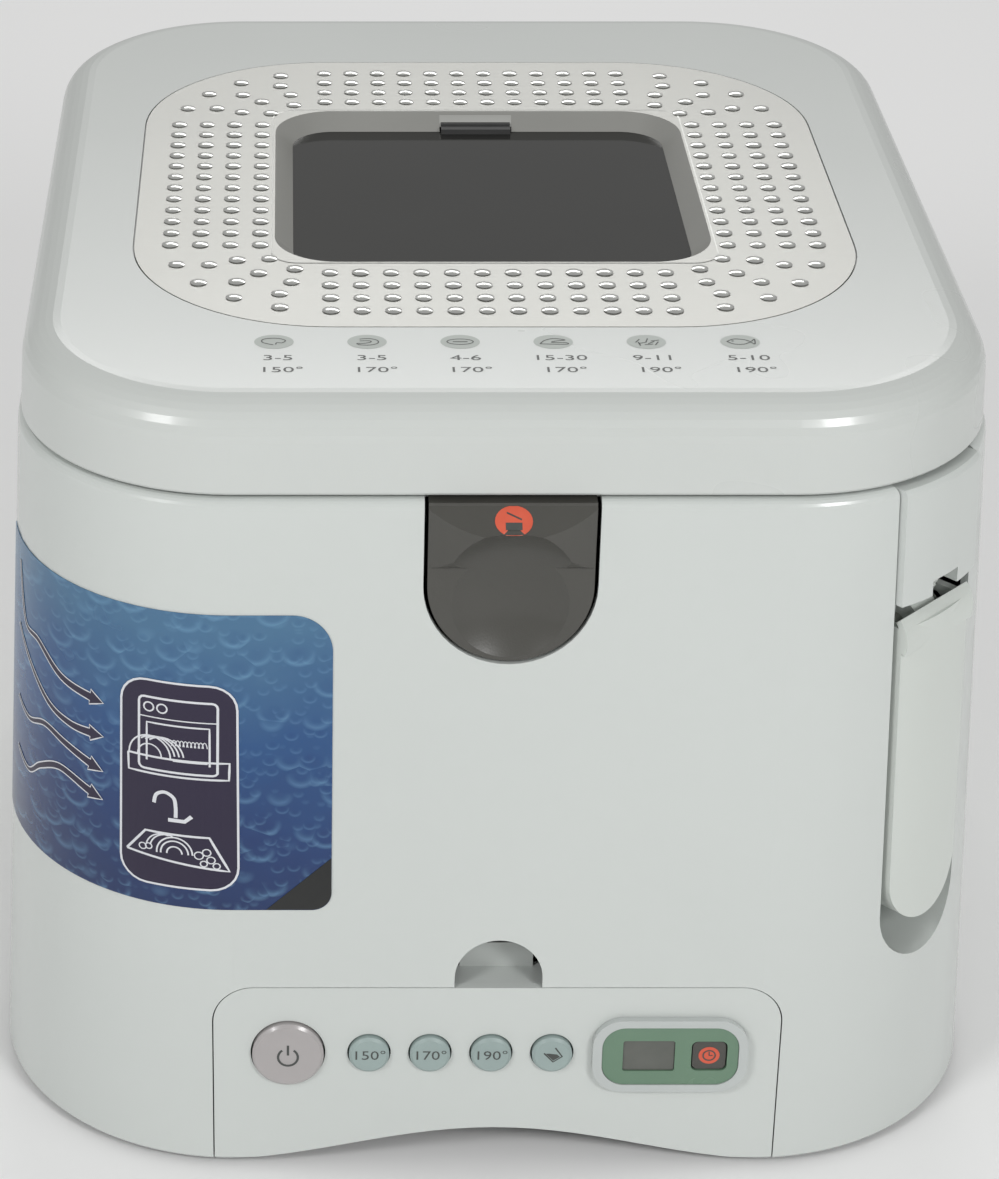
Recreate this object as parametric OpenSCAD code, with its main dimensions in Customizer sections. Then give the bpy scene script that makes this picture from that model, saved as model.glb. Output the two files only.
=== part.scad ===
// Counter-top deep fryer: drafted body, hinged lid with a window, removable bowl and basket, and a
// folding corner handle that raises the basket through a pair of gears. Millimetres, +Z up, front
// towards -Y, origin on the ground under the middle of the footprint.

/* [Body] */
// half width at the shoulder
body_half_w = 148.2; // [135:0.1:165]
// half depth at the shoulder
body_half_d = 170.4; // [158:0.1:185]
// plan corner radius at the shoulder
corner_r = 66; // [60:1:72]
// outward lean of the walls towards the base, degrees
draft = 2.81; // [1:0.01:4]
// height of the shoulder above the ground
shoulder_z = 231; // [222:0.5:240]
// wall thickness of the moulded housing
wall = 2.6; // [2:0.1:3.5]
// height of the rubber feet below the body
foot_h = 3; // [2:0.5:4]
// height of the arch cut in the lower front edge
arch_h = 12.4; // [6:0.2:18]

/* [Lid] */
// gap between the body deck and the lid's lower edge
lid_gap = 1.2; // [0.8:0.1:2]
// height of the lid from its lower edge to its top
lid_h = 28.5; // [26:0.5:32]
// radius of the lid's upper edge
lid_edge_r = 12; // [8:0.5:14]
// side of the square metal trim plate
plate_side = 228; // [215:1:240]
// corner radius of the trim plate
plate_r = 62; // [50:1:66]
// window width
window_w = 127; // [110:1:140]
// window depth
window_d = 119; // [100:1:130]
// how far the lid opens, degrees
lid_open = 80; // [60:1:82]

/* [Bowl and basket] */
// distance from the body corner centre in to the bowl corner centre, each way
bowl_in = 27; // [24:0.5:30]
// plan corner radius of the bowl
bowl_r = 52; // [46:1:54]
// height of the bowl floor above the ground
bowl_floor_z = 85; // [78:1:92]
// depth of the basket
basket_h = 50; // [44:1:54]

/* [Handle and lift] */
// width of the handle block
block_w = 37; // [34:0.5:40]
// width of the folding handle
handle_w = 34; // [30:0.5:36]
// height of the handle pivot
pivot_z = 182; // [178:0.5:186]
// lowest point of the folded handle
handle_low_z = 81; // [76:0.5:86]
// lowest point of the handle recess
recess_low_z = 67; // [62:0.5:72]
// pitch radius of the two equal lift gears
gear_r = 15; // [14:0.5:16]
// length of the lift arm
lift_arm_l = 40; // [36:0.5:42]
// radial running clearance of pins in bores
run_fit = 0.06; // [0.03:0.01:0.1]

/* [Front controls] */
// height of the button row above the ground
row_z = 43.7; // [40:0.1:48]
// width of the control panel
panel_w = 178; // [160:1:190]
// top of the control panel above the ground
panel_top_z = 67.8; // [60:0.2:74]
// gap around each button
button_gap = 0.5; // [0.3:0.1:0.8]
// travel of the buttons
button_travel = 1.2; // [0.8:0.1:1.6]
// width of the finger notch
notch_w = 27.3; // [22:0.1:32]

/* [Lid release] */
// width of the release rocker
rel_w = 49; // [44:0.5:54]
// lowest point of the rocker
rel_low_z = 182; // [176:0.5:188]

/* [Hidden] */
tn = tan(draft);
hx = body_half_w - corner_r;
hy = body_half_d - corner_r;
deck_z = shoulder_z + 3;
lid_z = deck_z + lid_gap;
lid_top = lid_z + lid_h;
plate_z = lid_top;
lid_o = corner_r - 1.2;
hinge_y = body_half_d - 12.4;
hinge_z = deck_z + 7;
well_z = deck_z - 8;
rim_z = well_z + 2.5;
bx = hx - bowl_in;
by = hy - bowl_in;
ref = corner_r;
boss_x = hx + 48.2;
boss_y = hy + 48.2;
pu = ref - 9;
gu = pu - 2 * gear_r;
tip_z = pivot_z - lift_arm_l * sin(45);
lift = 2 * lift_arm_l * sin(45);
basket_floor_z = bowl_floor_z + 8;
basket_rim_z = basket_floor_z + basket_h;
$fn = 64;

white = [0.86, 0.87, 0.86];
dark = [0.2, 0.2, 0.19];
steel = [0.72, 0.72, 0.7];
grey = [0.6, 0.61, 0.6];

// ---- shared shapes ----

function arc(cx, cz, r, a0, a1, n) =
  [for (i = [0:n]) [cx + r * cos(a0 + (a1 - a0) * i / n), cz + r * sin(a0 + (a1 - a0) * i / n)]];

// offset of the outer wall from the corner-centre rectangle at height z
function wo(z) = corner_r + (shoulder_z - z) * tn;

// front face of the drafted body at height z
function fy(z) = -(hy + wo(z));

// solid with a rounded-rectangle plan: prof lists [offset, height] from bottom to top
module ring_solid(ax, ay, prof) {
  n = len(prof);
  half = concat([[0, prof[0][1]]], prof, [[0, prof[n - 1][1]]]);
  side_x = concat([for (p = prof) [ax + p[0], p[1]]], [for (i = [n - 1:-1:0]) [-ax - prof[i][0], prof[i][1]]]);
  side_y = concat([for (p = prof) [ay + p[0], p[1]]], [for (i = [n - 1:-1:0]) [-ay - prof[i][0], prof[i][1]]]);
  union() {
    rotate([90, 0, 0]) linear_extrude(height = 2 * ay, center = true) polygon(side_x);
    rotate([90, 0, 90]) linear_extrude(height = 2 * ax, center = true) polygon(side_y);
    translate([ax, ay, 0]) rotate([0, 0, 0]) rotate_extrude(angle = 90) polygon(half);
    translate([-ax, ay, 0]) rotate([0, 0, 90]) rotate_extrude(angle = 90) polygon(half);
    translate([-ax, -ay, 0]) rotate([0, 0, 180]) rotate_extrude(angle = 90) polygon(half);
    translate([ax, -ay, 0]) rotate([0, 0, 270]) rotate_extrude(angle = 90) polygon(half);
  }
}

// straight-sided plate with rounded corners, from z0 to z1
module rr_plate(half_x, half_y, r, z0, z1) {
  translate([0, 0, z0]) linear_extrude(height = z1 - z0) rr2d(half_x, half_y, r);
}

module rr2d(half_x, half_y, r) {
  union() {
    square([2 * half_x - 2 * r, 2 * half_y], center = true);
    square([2 * half_x, 2 * half_y - 2 * r], center = true);
    for (sx = [-1, 1], sy = [-1, 1]) translate([sx * (half_x - r), sy * (half_y - r)]) circle(r);
  }
}

// frame on the front wall: local x right, local z up along the wall, local -y out of the wall
module on_front(x, z) {
  translate([x, fy(z), z]) rotate([-draft, 0, 0]) children();
}

// frame of the lift mechanism: local x out through the corner, local y along it
module at_corner() {
  translate([hx, -hy, 0]) rotate([0, 0, -45]) children();
}

// round bar along the local y axis
module bar_y(r, l) {
  rotate([90, 0, 0]) cylinder(h = l, r = r, center = true);
}

// round bar along x
module bar_x(r, l) {
  rotate([0, 90, 0]) cylinder(h = l, r = r, center = true);
}

module screw(d, l, head) {
  union() {
    cylinder(h = l, d = d, $fn = 24);
    translate([0, 0, -head / 3]) cylinder(h = head / 3, d = head, $fn = 24);
  }
}

// ---- gears: ten teeth, 25 degree involute, stubbed and thinned for backlash ----

gear_n = 10;
gear_m = 2 * gear_r / gear_n;
gear_b = gear_r * cos(25);
gear_a = gear_r + 0.75 * gear_m;
gear_f = gear_r - 1.0 * gear_m;

// polar angle of the involute at radius r, degrees
function inv(r) = r <= gear_b ? 0 : sqrt(pow(r / gear_b, 2) - 1) * 180 / PI - acos(gear_b / r);

module gear2d(teeth) {
  half_t = 90 / gear_n - 0.75;
  q = half_t + inv(gear_r);
  union() {
    circle(r = gear_f, $fn = 60);
    for (i = teeth) rotate(360 / gear_n * i) polygon(concat(
      [[gear_f * 0.9 * cos(q), -gear_f * 0.9 * sin(q)]],
      [for (k = [0:6]) let (r = gear_b + (gear_a - gear_b) * k / 6, a = q - inv(r)) [r * cos(a), -r * sin(a)]],
      [for (k = [6:-1:0]) let (r = gear_b + (gear_a - gear_b) * k / 6, a = q - inv(r)) [r * cos(a), r * sin(a)]],
      [[gear_f * 0.9 * cos(q), gear_f * 0.9 * sin(q)]]));
  }
}

// ---- body ----

module body_outer(grow = 0) {
  ring_solid(hx, hy, concat(
    [[wo(foot_h) + grow - 0.8, foot_h], [wo(foot_h + 1) + grow, foot_h + 1],
      [wo(deck_z - 5.5) + grow, deck_z - 5.5]],
    arc(corner_r - 3 + grow, shoulder_z, 3, 0, 90, 5)));
}

module body_inner() {
  ring_solid(hx, hy, [[wo(foot_h) - wall, foot_h - 1], [wo(shoulder_z - 2) - wall, shoulder_z - 2],
    [wo(shoulder_z) - wall - 1, deck_z - wall]]);
}

// pocket of the corner handle, cut from the outside
module corner_pocket(grow = 0, deep = 0) {
  at_corner() {
    hull_w = block_w / 2 + 0.6 + grow;
    translate([ref - 16 - deep, 0, 0]) rotate([90, 0, 90]) linear_extrude(height = 60) union() {
      translate([-hull_w, recess_low_z + hull_w - grow])
        square([2 * hull_w, pivot_z - 10 - recess_low_z - hull_w + grow * 2]);
      translate([0, recess_low_z + hull_w - grow]) circle(hull_w);
    }
  }
}

// opening of the handle block, right through the corner
module block_opening() {
  at_corner() translate([10, -block_w / 2 - 0.6, pivot_z - 32]) cube([90, block_w + 1.2, 120]);
}

module front_outline(w, low, top, r) {
  translate([0, top - r]) union() {
    translate([-w / 2, low - top + r]) square([w, top - low - r]);
    translate([-w / 2 + r, low - top + r]) square([w - 2 * r, top - low]);
    for (s = [-1, 1]) translate([s * (w / 2 - r), 0]) circle(r);
  }
}

// arch under the front edge, as a cutter through the wall
module arch_cut(y0, y1) {
  n = 28;
  translate([0, y1, 0]) rotate([90, 0, 0]) linear_extrude(height = y1 - y0) polygon(concat([[-92, -10]],
    [for (i = [0:n]) [-92 + 184 * i / n, foot_h - 0.01 + arch_h * (0.5 + 0.5 * cos(180 * (2 * i / n - 1)))]],
    [[92, -10]]));
}

module rel_outline(grow) {
  r = rel_w / 2 + grow;
  union() {
    translate([-r, rel_low_z + rel_w / 2]) square([2 * r, 60]);
    translate([0, rel_low_z + rel_w / 2]) circle(r);
  }
}

// cutter on the front wall with an outline drawn in x and z
module front_prism(y0, y1) {
  translate([0, y1, 0]) rotate([90, 0, 0]) linear_extrude(height = y1 - y0) children();
}

module body_shell() {
  color(white) difference() {
    union() {
      difference() {
        body_outer();
        body_inner();
      }
      // well wall and well ledge
      ring_solid(bx, by, [[bowl_r + 12.6, well_z - wall], [bowl_r + 12.6, deck_z - 1]]);
      // floor under the rear bay
      intersection() {
        body_outer();
        translate([-128.6, hy + 43.4, deck_z - 5.5 - wall]) cube([257.2, 60, wall + 3]);
      }
      // walls of the handle recess
      intersection() {
        difference() {
          corner_pocket(grow = 2.4, deep = 2.4);
          corner_pocket();
        }
        body_outer();
      }
      // bosses for the base screws
      for (sx = [-1, 1], sy = [-1, 1])
        translate([sx * boss_x, sy * boss_y, foot_h + 6.2]) cylinder(h = 48, d = 9);
    }
    // the well the bowl flange sits in
    ring_solid(bx, by, [[bowl_r + 10, well_z], [bowl_r + 10, deck_z + 5]]);
    // the hole the bowl hangs through
    ring_solid(bx, by, [[bowl_r + 3, well_z - 10], [bowl_r + 3, deck_z + 5]]);
    corner_pocket();
    block_opening();
    // rear bay that the lid's back edge swings into
    translate([-126, hy + 46, deck_z - 5.5]) cube([252, 60, 20]);
    // opening for the release rocker
    front_prism(-body_half_d - 20, -body_half_d + 8) rel_outline(1.2);
    // slot for the lid catch
    translate([-9.5, -hy - 58.6, well_z - 12]) cube([19, 9, 30]);
    // opening for the control panel, and the finger notch above it
    front_prism(-220, -hy - 60) front_outline(panel_w, -5, panel_top_z, 13);
    front_prism(-220, -hy - 60) translate([0, panel_top_z + 3.4]) union() {
      circle(notch_w / 2);
      translate([-notch_w / 2, -8]) square([notch_w, 8]);
    }
    arch_cut(-220, -hy - 60);
    // hinge screw pilots in the rear bay
    for (s = [-1, 1], t = [-6, 6]) translate([s * 70 + t, hinge_y - 2, deck_z - 20]) cylinder(h = 20, d = 2.6, $fn = 24);
    // steam outlets in the back wall
    for (i = [-4:4]) translate([i * 9 - 2, hy + 50, deck_z - 26]) cube([4, 40, 14]);
    // cord gland opening
    translate([60, hy + wo(30), 30]) rotate([-90 + draft, 0, 0]) cylinder(h = 30, r = 8.2, center = true);
    // base screw pilots
    for (sx = [-1, 1], sy = [-1, 1])
      translate([sx * boss_x, sy * boss_y, 0]) cylinder(h = 24, d = 2.7, $fn = 24);
  }
}

module control_panel() {
  color(white) difference() {
    union() {
      intersection() {
        difference() {
          body_outer(grow = -0.15);
          ring_solid(hx, hy, [[wo(foot_h) - 3, foot_h - 1], [wo(120) - 3, 120]]);
        }
        front_prism(-220, -hy - 60) front_outline(panel_w - 0.8, -5, panel_top_z - 0.4, 12.6);
      }
      // lip behind the finger notch
      translate([-24, fy(panel_top_z) + 2, panel_top_z - 7]) cube([48, 13, 6]);
      translate([-11.5, fy(panel_top_z) + 12.6, panel_top_z - 7]) cube([23, 2.4, 15]);
    }
    arch_cut(-220, -hy - 60);
    on_front(-65.3, row_z) rotate([90, 0, 0]) cylinder(h = 20, r = 11.2 + button_gap, center = true);
    for (x = [-39.9, -20.8, -1.7, 17.4])
      on_front(x, row_z) rotate([90, 0, 0]) cylinder(h = 20, r = 6.3 + button_gap, center = true);
    on_front(54.3, row_z) rotate([90, 0, 0]) linear_extrude(height = 20, center = true) rr2d(22.9, 11.9, 8.5);
  }
}

module base_tray() {
  color(dark) difference() {
    union() {
      ring_solid(hx, hy, [[wo(foot_h) - wall - 0.5, foot_h + 0.4], [wo(foot_h + 2.4) - wall - 0.5, foot_h + 2.4]]);
      for (sx = [-1, 1], sy = [-1, 1]) translate([sx * boss_x, sy * boss_y, foot_h + 2]) cylinder(h = 4, d = 12);
      // posts for the boards and the heater
      for (s = [-1, 1]) {
        translate([s * 79.5 - 1.5, -164, foot_h + 2]) cube([3, 108, 17]);
        translate([s * 76.5 - 2, -160, foot_h + 2]) cube([4, 100, 10.6]);
      }
      for (a = [0:90:270]) rotate([0, 0, a + 45]) translate([70, 0, foot_h + 2]) cylinder(h = 56.6, d = 8);
      translate([-14, -50, foot_h + 2]) cube([28, 10, 12.8]);
    }
    for (sx = [-1, 1], sy = [-1, 1]) {
      translate([sx * boss_x, sy * boss_y, 0]) cylinder(h = 24, d = 3.6, $fn = 24);
      translate([sx * boss_x, sy * boss_y, 0]) cylinder(h = 6.6, d = 8, $fn = 32);
      translate([sx * 118, sy * 100, 0]) cylinder(h = foot_h + 1.6, d = 20);
    }
    for (i = [-5:5]) translate([i * 12 - 2, -40, 0]) cube([4, 80, 20]);
    arch_cut(-220, -hy - 50);
  }
}

module rubber_feet() {
  color(dark) for (sx = [-1, 1], sy = [-1, 1]) translate([sx * 118, sy * 100, 0]) union() {
    cylinder(h = foot_h + 1.6, d = 19.9);
    cylinder(h = foot_h - 0.2, d = 24);
  }
}

module base_screws() {
  color(steel) for (sx = [-1, 1], sy = [-1, 1]) translate([sx * boss_x, sy * boss_y, 6.58]) difference() {
    union() {
      cylinder(h = 16, d = 2.7, $fn = 24);
      translate([0, 0, -2.4]) cylinder(h = 2.4, d = 6.4, $fn = 24);
    }
    translate([0, 0, -2.5]) cylinder(h = 1.4, d = 2.6, $fn = 6);
  }
}

// ---- controls ----

module push_button(x, r) {
  on_front(x, row_z) union() {
    translate([0, 2.2, 0]) rotate([90, 0, 0]) cylinder(h = 3.4, r = r);
    translate([0, -1.2, 0]) rotate([90, 0, 0]) cylinder(h = 0.7, r1 = r, r2 = r - 0.9);
    translate([0, 6.0, 0]) rotate([90, 0, 0]) cylinder(h = 4, r = 2.4);
  }
}

module power_button() {
  color([0.62, 0.6, 0.62]) push_button(-65.3, 11.2);
}

module temp_button_150() {
  color([0.5, 0.56, 0.58]) push_button(-39.9, 6.3);
}

module temp_button_170() {
  color([0.5, 0.56, 0.58]) push_button(-20.8, 6.3);
}

module temp_button_190() {
  color([0.5, 0.56, 0.58]) push_button(-1.7, 6.3);
}

module melt_button() {
  color([0.5, 0.56, 0.58]) push_button(17.4, 6.3);
}

module pod(x, half_x, half_z, r, y0, y1) {
  on_front(x, row_z) translate([0, y1, 0]) rotate([90, 0, 0]) linear_extrude(height = y1 - y0) rr2d(half_x, half_z, r);
}

module display_bezel() {
  color([0.8, 0.82, 0.82]) difference() {
    union() {
      pod(54.3, 24.3, 13.2, 9.6, -2.4, -0.05);
      pod(54.3, 22.5, 11.5, 8.2, -0.06, 4);
    }
    pod(54.3, 21.4, 10.6, 7.4, -3, 1.0);
    pod(54.3, 19, 8.6, 5.5, -3, 5);
  }
}

module display_fascia() {
  color([0.45, 0.62, 0.5]) difference() {
    pod(54.3, 21.3, 10.5, 7.3, -2.0, 0.95);
    pod(47.6, 8.1, 5.6, 0.8, -3, 5);
    on_front(66.5, row_z) rotate([90, 0, 0]) linear_extrude(height = 10, center = true) rr2d(5.6, 5.4, 2);
  }
}

module lcd_screen() {
  color([0.55, 0.62, 0.55]) union() {
    pod(47.6, 8.0, 5.5, 0.7, -1.4, 1.0);
    pod(47.6, 9.5, 7.0, 0.7, 1.0, 4.4);
  }
}

module timer_button() {
  color([0.45, 0.62, 0.5]) union() {
    pod(66.5, 5.2, 5.0, 1.8, -1.5, 2.2);
    on_front(66.5, row_z) translate([0, 6.0, 0]) rotate([90, 0, 0]) cylinder(h = 4, r = 2.4);
  }
}

module control_board() {
  color([0.12, 0.35, 0.2]) union() {
    on_front(0, row_z) translate([-82, 8, -16]) cube([164, 1.6, 32]);
    for (x = [-65.3, -39.9, -20.8, -1.7, 17.4, 66.5]) on_front(x, row_z) translate([-3, 7.3, -3]) cube([6, 0.8, 6]);
    on_front(30, row_z) translate([-4, 9.5, -6]) cube([8, 3, 12]);
    on_front(-50, row_z) translate([-10, 9.5, 4]) cube([20, 5, 8]);
  }
}

module module_tray() {
  color(dark) difference() {
    union() {
      translate([-77.4, -168, foot_h + 13]) cube([154.8, 104, 2]);
      for (s = [-1, 1]) translate([s * 76.4 - 1, -160, foot_h + 13]) cube([2, 90, 9]);
      for (x = [-38, 38], y = [-146, -118]) translate([x, y, foot_h + 14]) cylinder(h = 5, d = 6);
    }
    translate([0, -176, foot_h + 10]) cylinder(h = 10, r = 12);
  }
}

module module_plug() {
  color(dark) union() {
    translate([-18, -64.6, foot_h + 15.05]) cube([36, 11.2, 13]);
    for (x = [-11, 0, 11]) translate([x, -54, foot_h + 22]) rotate([-90, 0, 0]) cylinder(h = 8, r = 1.5, $fn = 32);
  }
}

module heater_socket() {
  color(dark) difference() {
    union() {
      translate([-18, -52.6, foot_h + 15]) cube([36, 14.6, 13]);
    }
    for (x = [-11, 0, 11]) translate([x, -55, foot_h + 22]) rotate([-90, 0, 0]) cylinder(h = 12, r = 1.9, $fn = 32);
  }
}

module power_board() {
  color([0.2, 0.3, 0.18]) union() {
    translate([-45, -152, foot_h + 19.1]) cube([90, 40, 1.6]);
    translate([-36, -145, foot_h + 20.5]) cube([19, 15, 13]);
    translate([-8, -145, foot_h + 20.5]) cube([19, 15, 13]);
    translate([30, -132, foot_h + 20.5]) cylinder(h = 16, d = 12);
  }
}

module transformer() {
  color([0.25, 0.25, 0.28]) union() {
    translate([-64, -104, foot_h + 15.05]) cube([34, 30, 22]);
    translate([-60, -108, foot_h + 20]) cube([26, 38, 12]);
  }
}

// ---- lid ----

lid_arc_z = lid_top - lid_edge_r;

module lid_outer() {
  ring_solid(hx, hy, concat([[lid_o - 0.6, lid_z], [lid_o, lid_z + 0.8], [lid_o - 0.4, lid_z + 8]],
    arc(lid_o - 0.8 - lid_edge_r, lid_arc_z, lid_edge_r, 0, 90, 8)));
}

module lid_cavity() {
  ring_solid(hx, hy, concat([[lid_o - 3, lid_z - 1], [lid_o - 3.2, lid_z + 8]],
    arc(lid_o - 0.8 - lid_edge_r, lid_arc_z, lid_edge_r - 2.6, 0, 90, 8)));
}

// sunken seat of the window, as a tapering pit cut from the top
module window_pit(grow, deep) {
  half_x = window_w / 2;
  half_y = window_d / 2;
  ring_solid(half_x - 14, half_y - 14, [[14 + grow, plate_z - deep], [14 + grow + 6, plate_z + 0.01],
    [14 + grow + 6, plate_z + 3]]);
}

module lid_shell() {
  color(white) difference() {
    union() {
      difference() {
        lid_outer();
        lid_cavity();
      }
      // knuckles for the rear pins, with gussets to the roof
      intersection() {
        lid_outer();
        for (s = [-1, 1], x = [60.2, 74]) translate([s * (x + 3) - 3, 0, 0]) union() {
          translate([3, hinge_y, hinge_z]) bar_x(5.4, 6);
          translate([0, hinge_y - 5.4, hinge_z]) cube([6, 9, 24]);
        }
      }
      // front boss that carries the catch
      translate([-11, -hy - 57, lid_z + 4]) cube([22, 8, 22]);
    }
    // recess of the trim plate
    rr_plate(plate_side / 2 + 0.5, plate_side / 2 + 0.5, plate_r + 0.5, plate_z - 1.2, plate_z + 5);
    // window hole
    window_pit(1.2, 6.5);
    rr_plate(window_w / 2 + 1.2, window_d / 2 + 1.2, 15, lid_z, plate_z);
    for (s = [-1, 1]) translate([s * 70, hinge_y, hinge_z]) bar_x(2.5, 29);
    translate([-1.6, 0, 0]) translate([-6.5, -hy - 54.5, lid_z - 1]) cube([16.2, 3.1, 18]);
    // cut-outs in the back edge that pass the hinge brackets and springs
    for (s = [-1, 1]) translate([s * 62.25 - 19.75, hinge_y + 6, lid_z - 1]) cube([39.5, 20, hinge_z - lid_z + 1]);
    // steam outlets through the back edge
    for (i = [-4:4]) translate([i * 10 - 2.5, hy + 30, lid_z + 9]) cube([5, 60, 7]);
  }
}

module lid_trim_plate() {
  color(steel) difference() {
    union() {
      rr_plate(plate_side / 2, plate_side / 2, plate_r, plate_z - 1.1, plate_z);
      window_pit(0.8, 5.4);
    }
    difference() {
      translate([0, 0, 0]) window_pit(0, 5.5);
      translate([-200, -200, plate_z + 0.005]) cube([400, 400, 10]);
    }
    translate([-200, -200, plate_z]) cube([400, 400, 10]);
    rr_plate(window_w / 2 - 1, window_d / 2 - 1, 13, plate_z - 9, plate_z + 1);
    // notch for the clip
    translate([-12.5, window_d / 2 - 4, plate_z - 9]) cube([25, 9, 9.5]);
  }
}

module window_glass() {
  color([0.1, 0.12, 0.14, 0.5]) rr_plate(window_w / 2 + 0.6, window_d / 2 + 0.6, 14.6, plate_z - 9, plate_z - 5.45);
}

module window_gasket() {
  color(dark) difference() {
    rr_plate(window_w / 2 + 0.9, window_d / 2 + 0.9, 14.9, plate_z - 12.5, plate_z - 9);
    rr_plate(window_w / 2 - 4, window_d / 2 - 4, 11, plate_z - 14, plate_z - 8);
  }
}

module window_clip() {
  color(grey) union() {
    translate([-12, window_d / 2 - 2.4, plate_z - 5.4]) cube([24, 7, 1.8]);
    translate([-12, window_d / 2 + 1.2, plate_z - 5.4]) cube([24, 3.4, 2.4]);
  }
}

module lid_liner() {
  color(steel) difference() {
    union() {
      ring_solid(hx, hy, [[lid_o - 3.6, lid_z + 2.4], [lid_o - 3.7, lid_z + 4.2]]);
      // ring that carries the seal down into the well
      ring_solid(bx, by, [[bowl_r + 5, rim_z + 4], [bowl_r + 5, lid_z + 3]]);
      // seat under the window
      rr_plate(window_w / 2 + 3, window_d / 2 + 3, 17, lid_z + 3, plate_z - 12.55);
    }
    ring_solid(bx, by, [[bowl_r + 3.2, rim_z], [bowl_r + 3.2, lid_z + 2.4]]);
    rr_plate(window_w / 2 - 6, window_d / 2 - 6, 9, lid_z - 20, plate_z);
    difference() {
      rr_plate(window_w / 2 + 1.2, window_d / 2 + 1.2, 15.2, lid_z - 1, plate_z - 14.3);
      translate([0, 0, 0]) rr_plate(window_w / 2 - 20, window_d / 2 - 20, 8, 0, 1);
    }
    // cut-outs at the knuckles, the catch and the filter
    for (s = [-1, 1]) translate([s * 62 - 25, hinge_y - 16, lid_z - 2]) cube([50, 40, 20]);
    translate([-12.5, -hy - 70, lid_z - 2]) cube([25, 23, 20]);
    for (i = [-5:5]) translate([i * 9 - 2, 84, lid_z - 5]) cube([4, 24, 30]);
  }
}

module lid_seal() {
  color([0.75, 0.75, 0.72]) difference() {
    ring_solid(bx, by, [[bowl_r + 6.2, rim_z + 0.3], [bowl_r + 7, rim_z + 1.4], [bowl_r + 7, rim_z + 6]]);
    ring_solid(bx, by, [[bowl_r + 2, rim_z], [bowl_r + 1.2, rim_z + 1.4], [bowl_r + 1.2, rim_z + 7]]);
    difference() {
      ring_solid(bx, by, [[bowl_r + 5, rim_z + 4], [bowl_r + 5, lid_z + 3]]);
      ring_solid(bx, by, [[bowl_r + 3.2, rim_z], [bowl_r + 3.2, lid_z + 4]]);
    }
  }
}

module steam_filter() {
  color([0.35, 0.36, 0.34]) translate([-52, 79, lid_z + 4.4]) cube([104, 34, 12]);
}

module filter_cover() {
  color(grey) difference() {
    translate([-54, 77, lid_z + 4.3]) cube([108, 38, 14]);
    translate([-52.1, 78.9, lid_z + 4.2]) cube([104.2, 34.2, 12.3]);
    for (i = [-5:5]) translate([i * 9 - 2, 82, lid_z + 14]) cube([4, 28, 10]);
  }
}

module hinge_brackets() {
  color(steel) for (s = [-1, 1]) translate([s * 70, 0, 0]) difference() {
    union() {
      translate([-10, hinge_y - 7, deck_z - 5.5]) cube([20, 8.3, 1.6]);
      translate([-3.3, hinge_y - 5, deck_z - 5.5]) cube([6.6, 5.6, 12.5]);
      translate([0, hinge_y, hinge_z]) bar_x(5, 6.6);
    }
    translate([0, hinge_y, hinge_z]) bar_x(2.5 + run_fit, 20);
    for (t = [-6, 6]) translate([t, hinge_y - 2, deck_z - 8]) cylinder(h = 8, d = 3, $fn = 24);
  }
}

module hinge_screws() {
  color(steel) for (s = [-1, 1], t = [-6, 6]) translate([s * 70 + t, hinge_y - 2, deck_z - 14]) union() {
    cylinder(h = 10.1, d = 2.5, $fn = 24);
    translate([0, 0, 10.1]) cylinder(h = 1.5, d = 4.8, $fn = 24);
  }
}

module hinge_pins() {
  color(steel) for (s = [-1, 1]) translate([s * 62, hinge_y, hinge_z]) bar_x(2.5, 46);
}

module lid_spring() {
  color(steel) for (s = [-1, 1]) translate([s * 48, hinge_y, hinge_z]) union() {
    for (i = [-2:2]) translate([i * 1.6, 0, 0]) rotate([0, 90, 0]) rotate_extrude() translate([3.7, 0]) circle(0.6, $fn = 16);
    translate([0, 0, 3.7]) bar_x(0.45, 6.4);
    translate([-3.2, -3.7, -11]) cylinder(h = 11.3, r = 0.45, $fn = 16);
    translate([3.2, -14, 3.7]) rotate([-90, 0, 0]) cylinder(h = 14.3, r = 0.45, $fn = 16);
  }
}

module lid_catch() {
  color(steel) difference() {
    translate([-8, -hy - 54.4, well_z - 4]) cube([16, 3, lid_z + 17 - well_z + 4]);
    translate([-5, -hy - 60, well_z - 1]) cube([10, 12, 4.5]);
  }
}

// ---- lid release ----

rel_pz = rel_low_z + 15;
rel_py = -body_half_d + 8;

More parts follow.
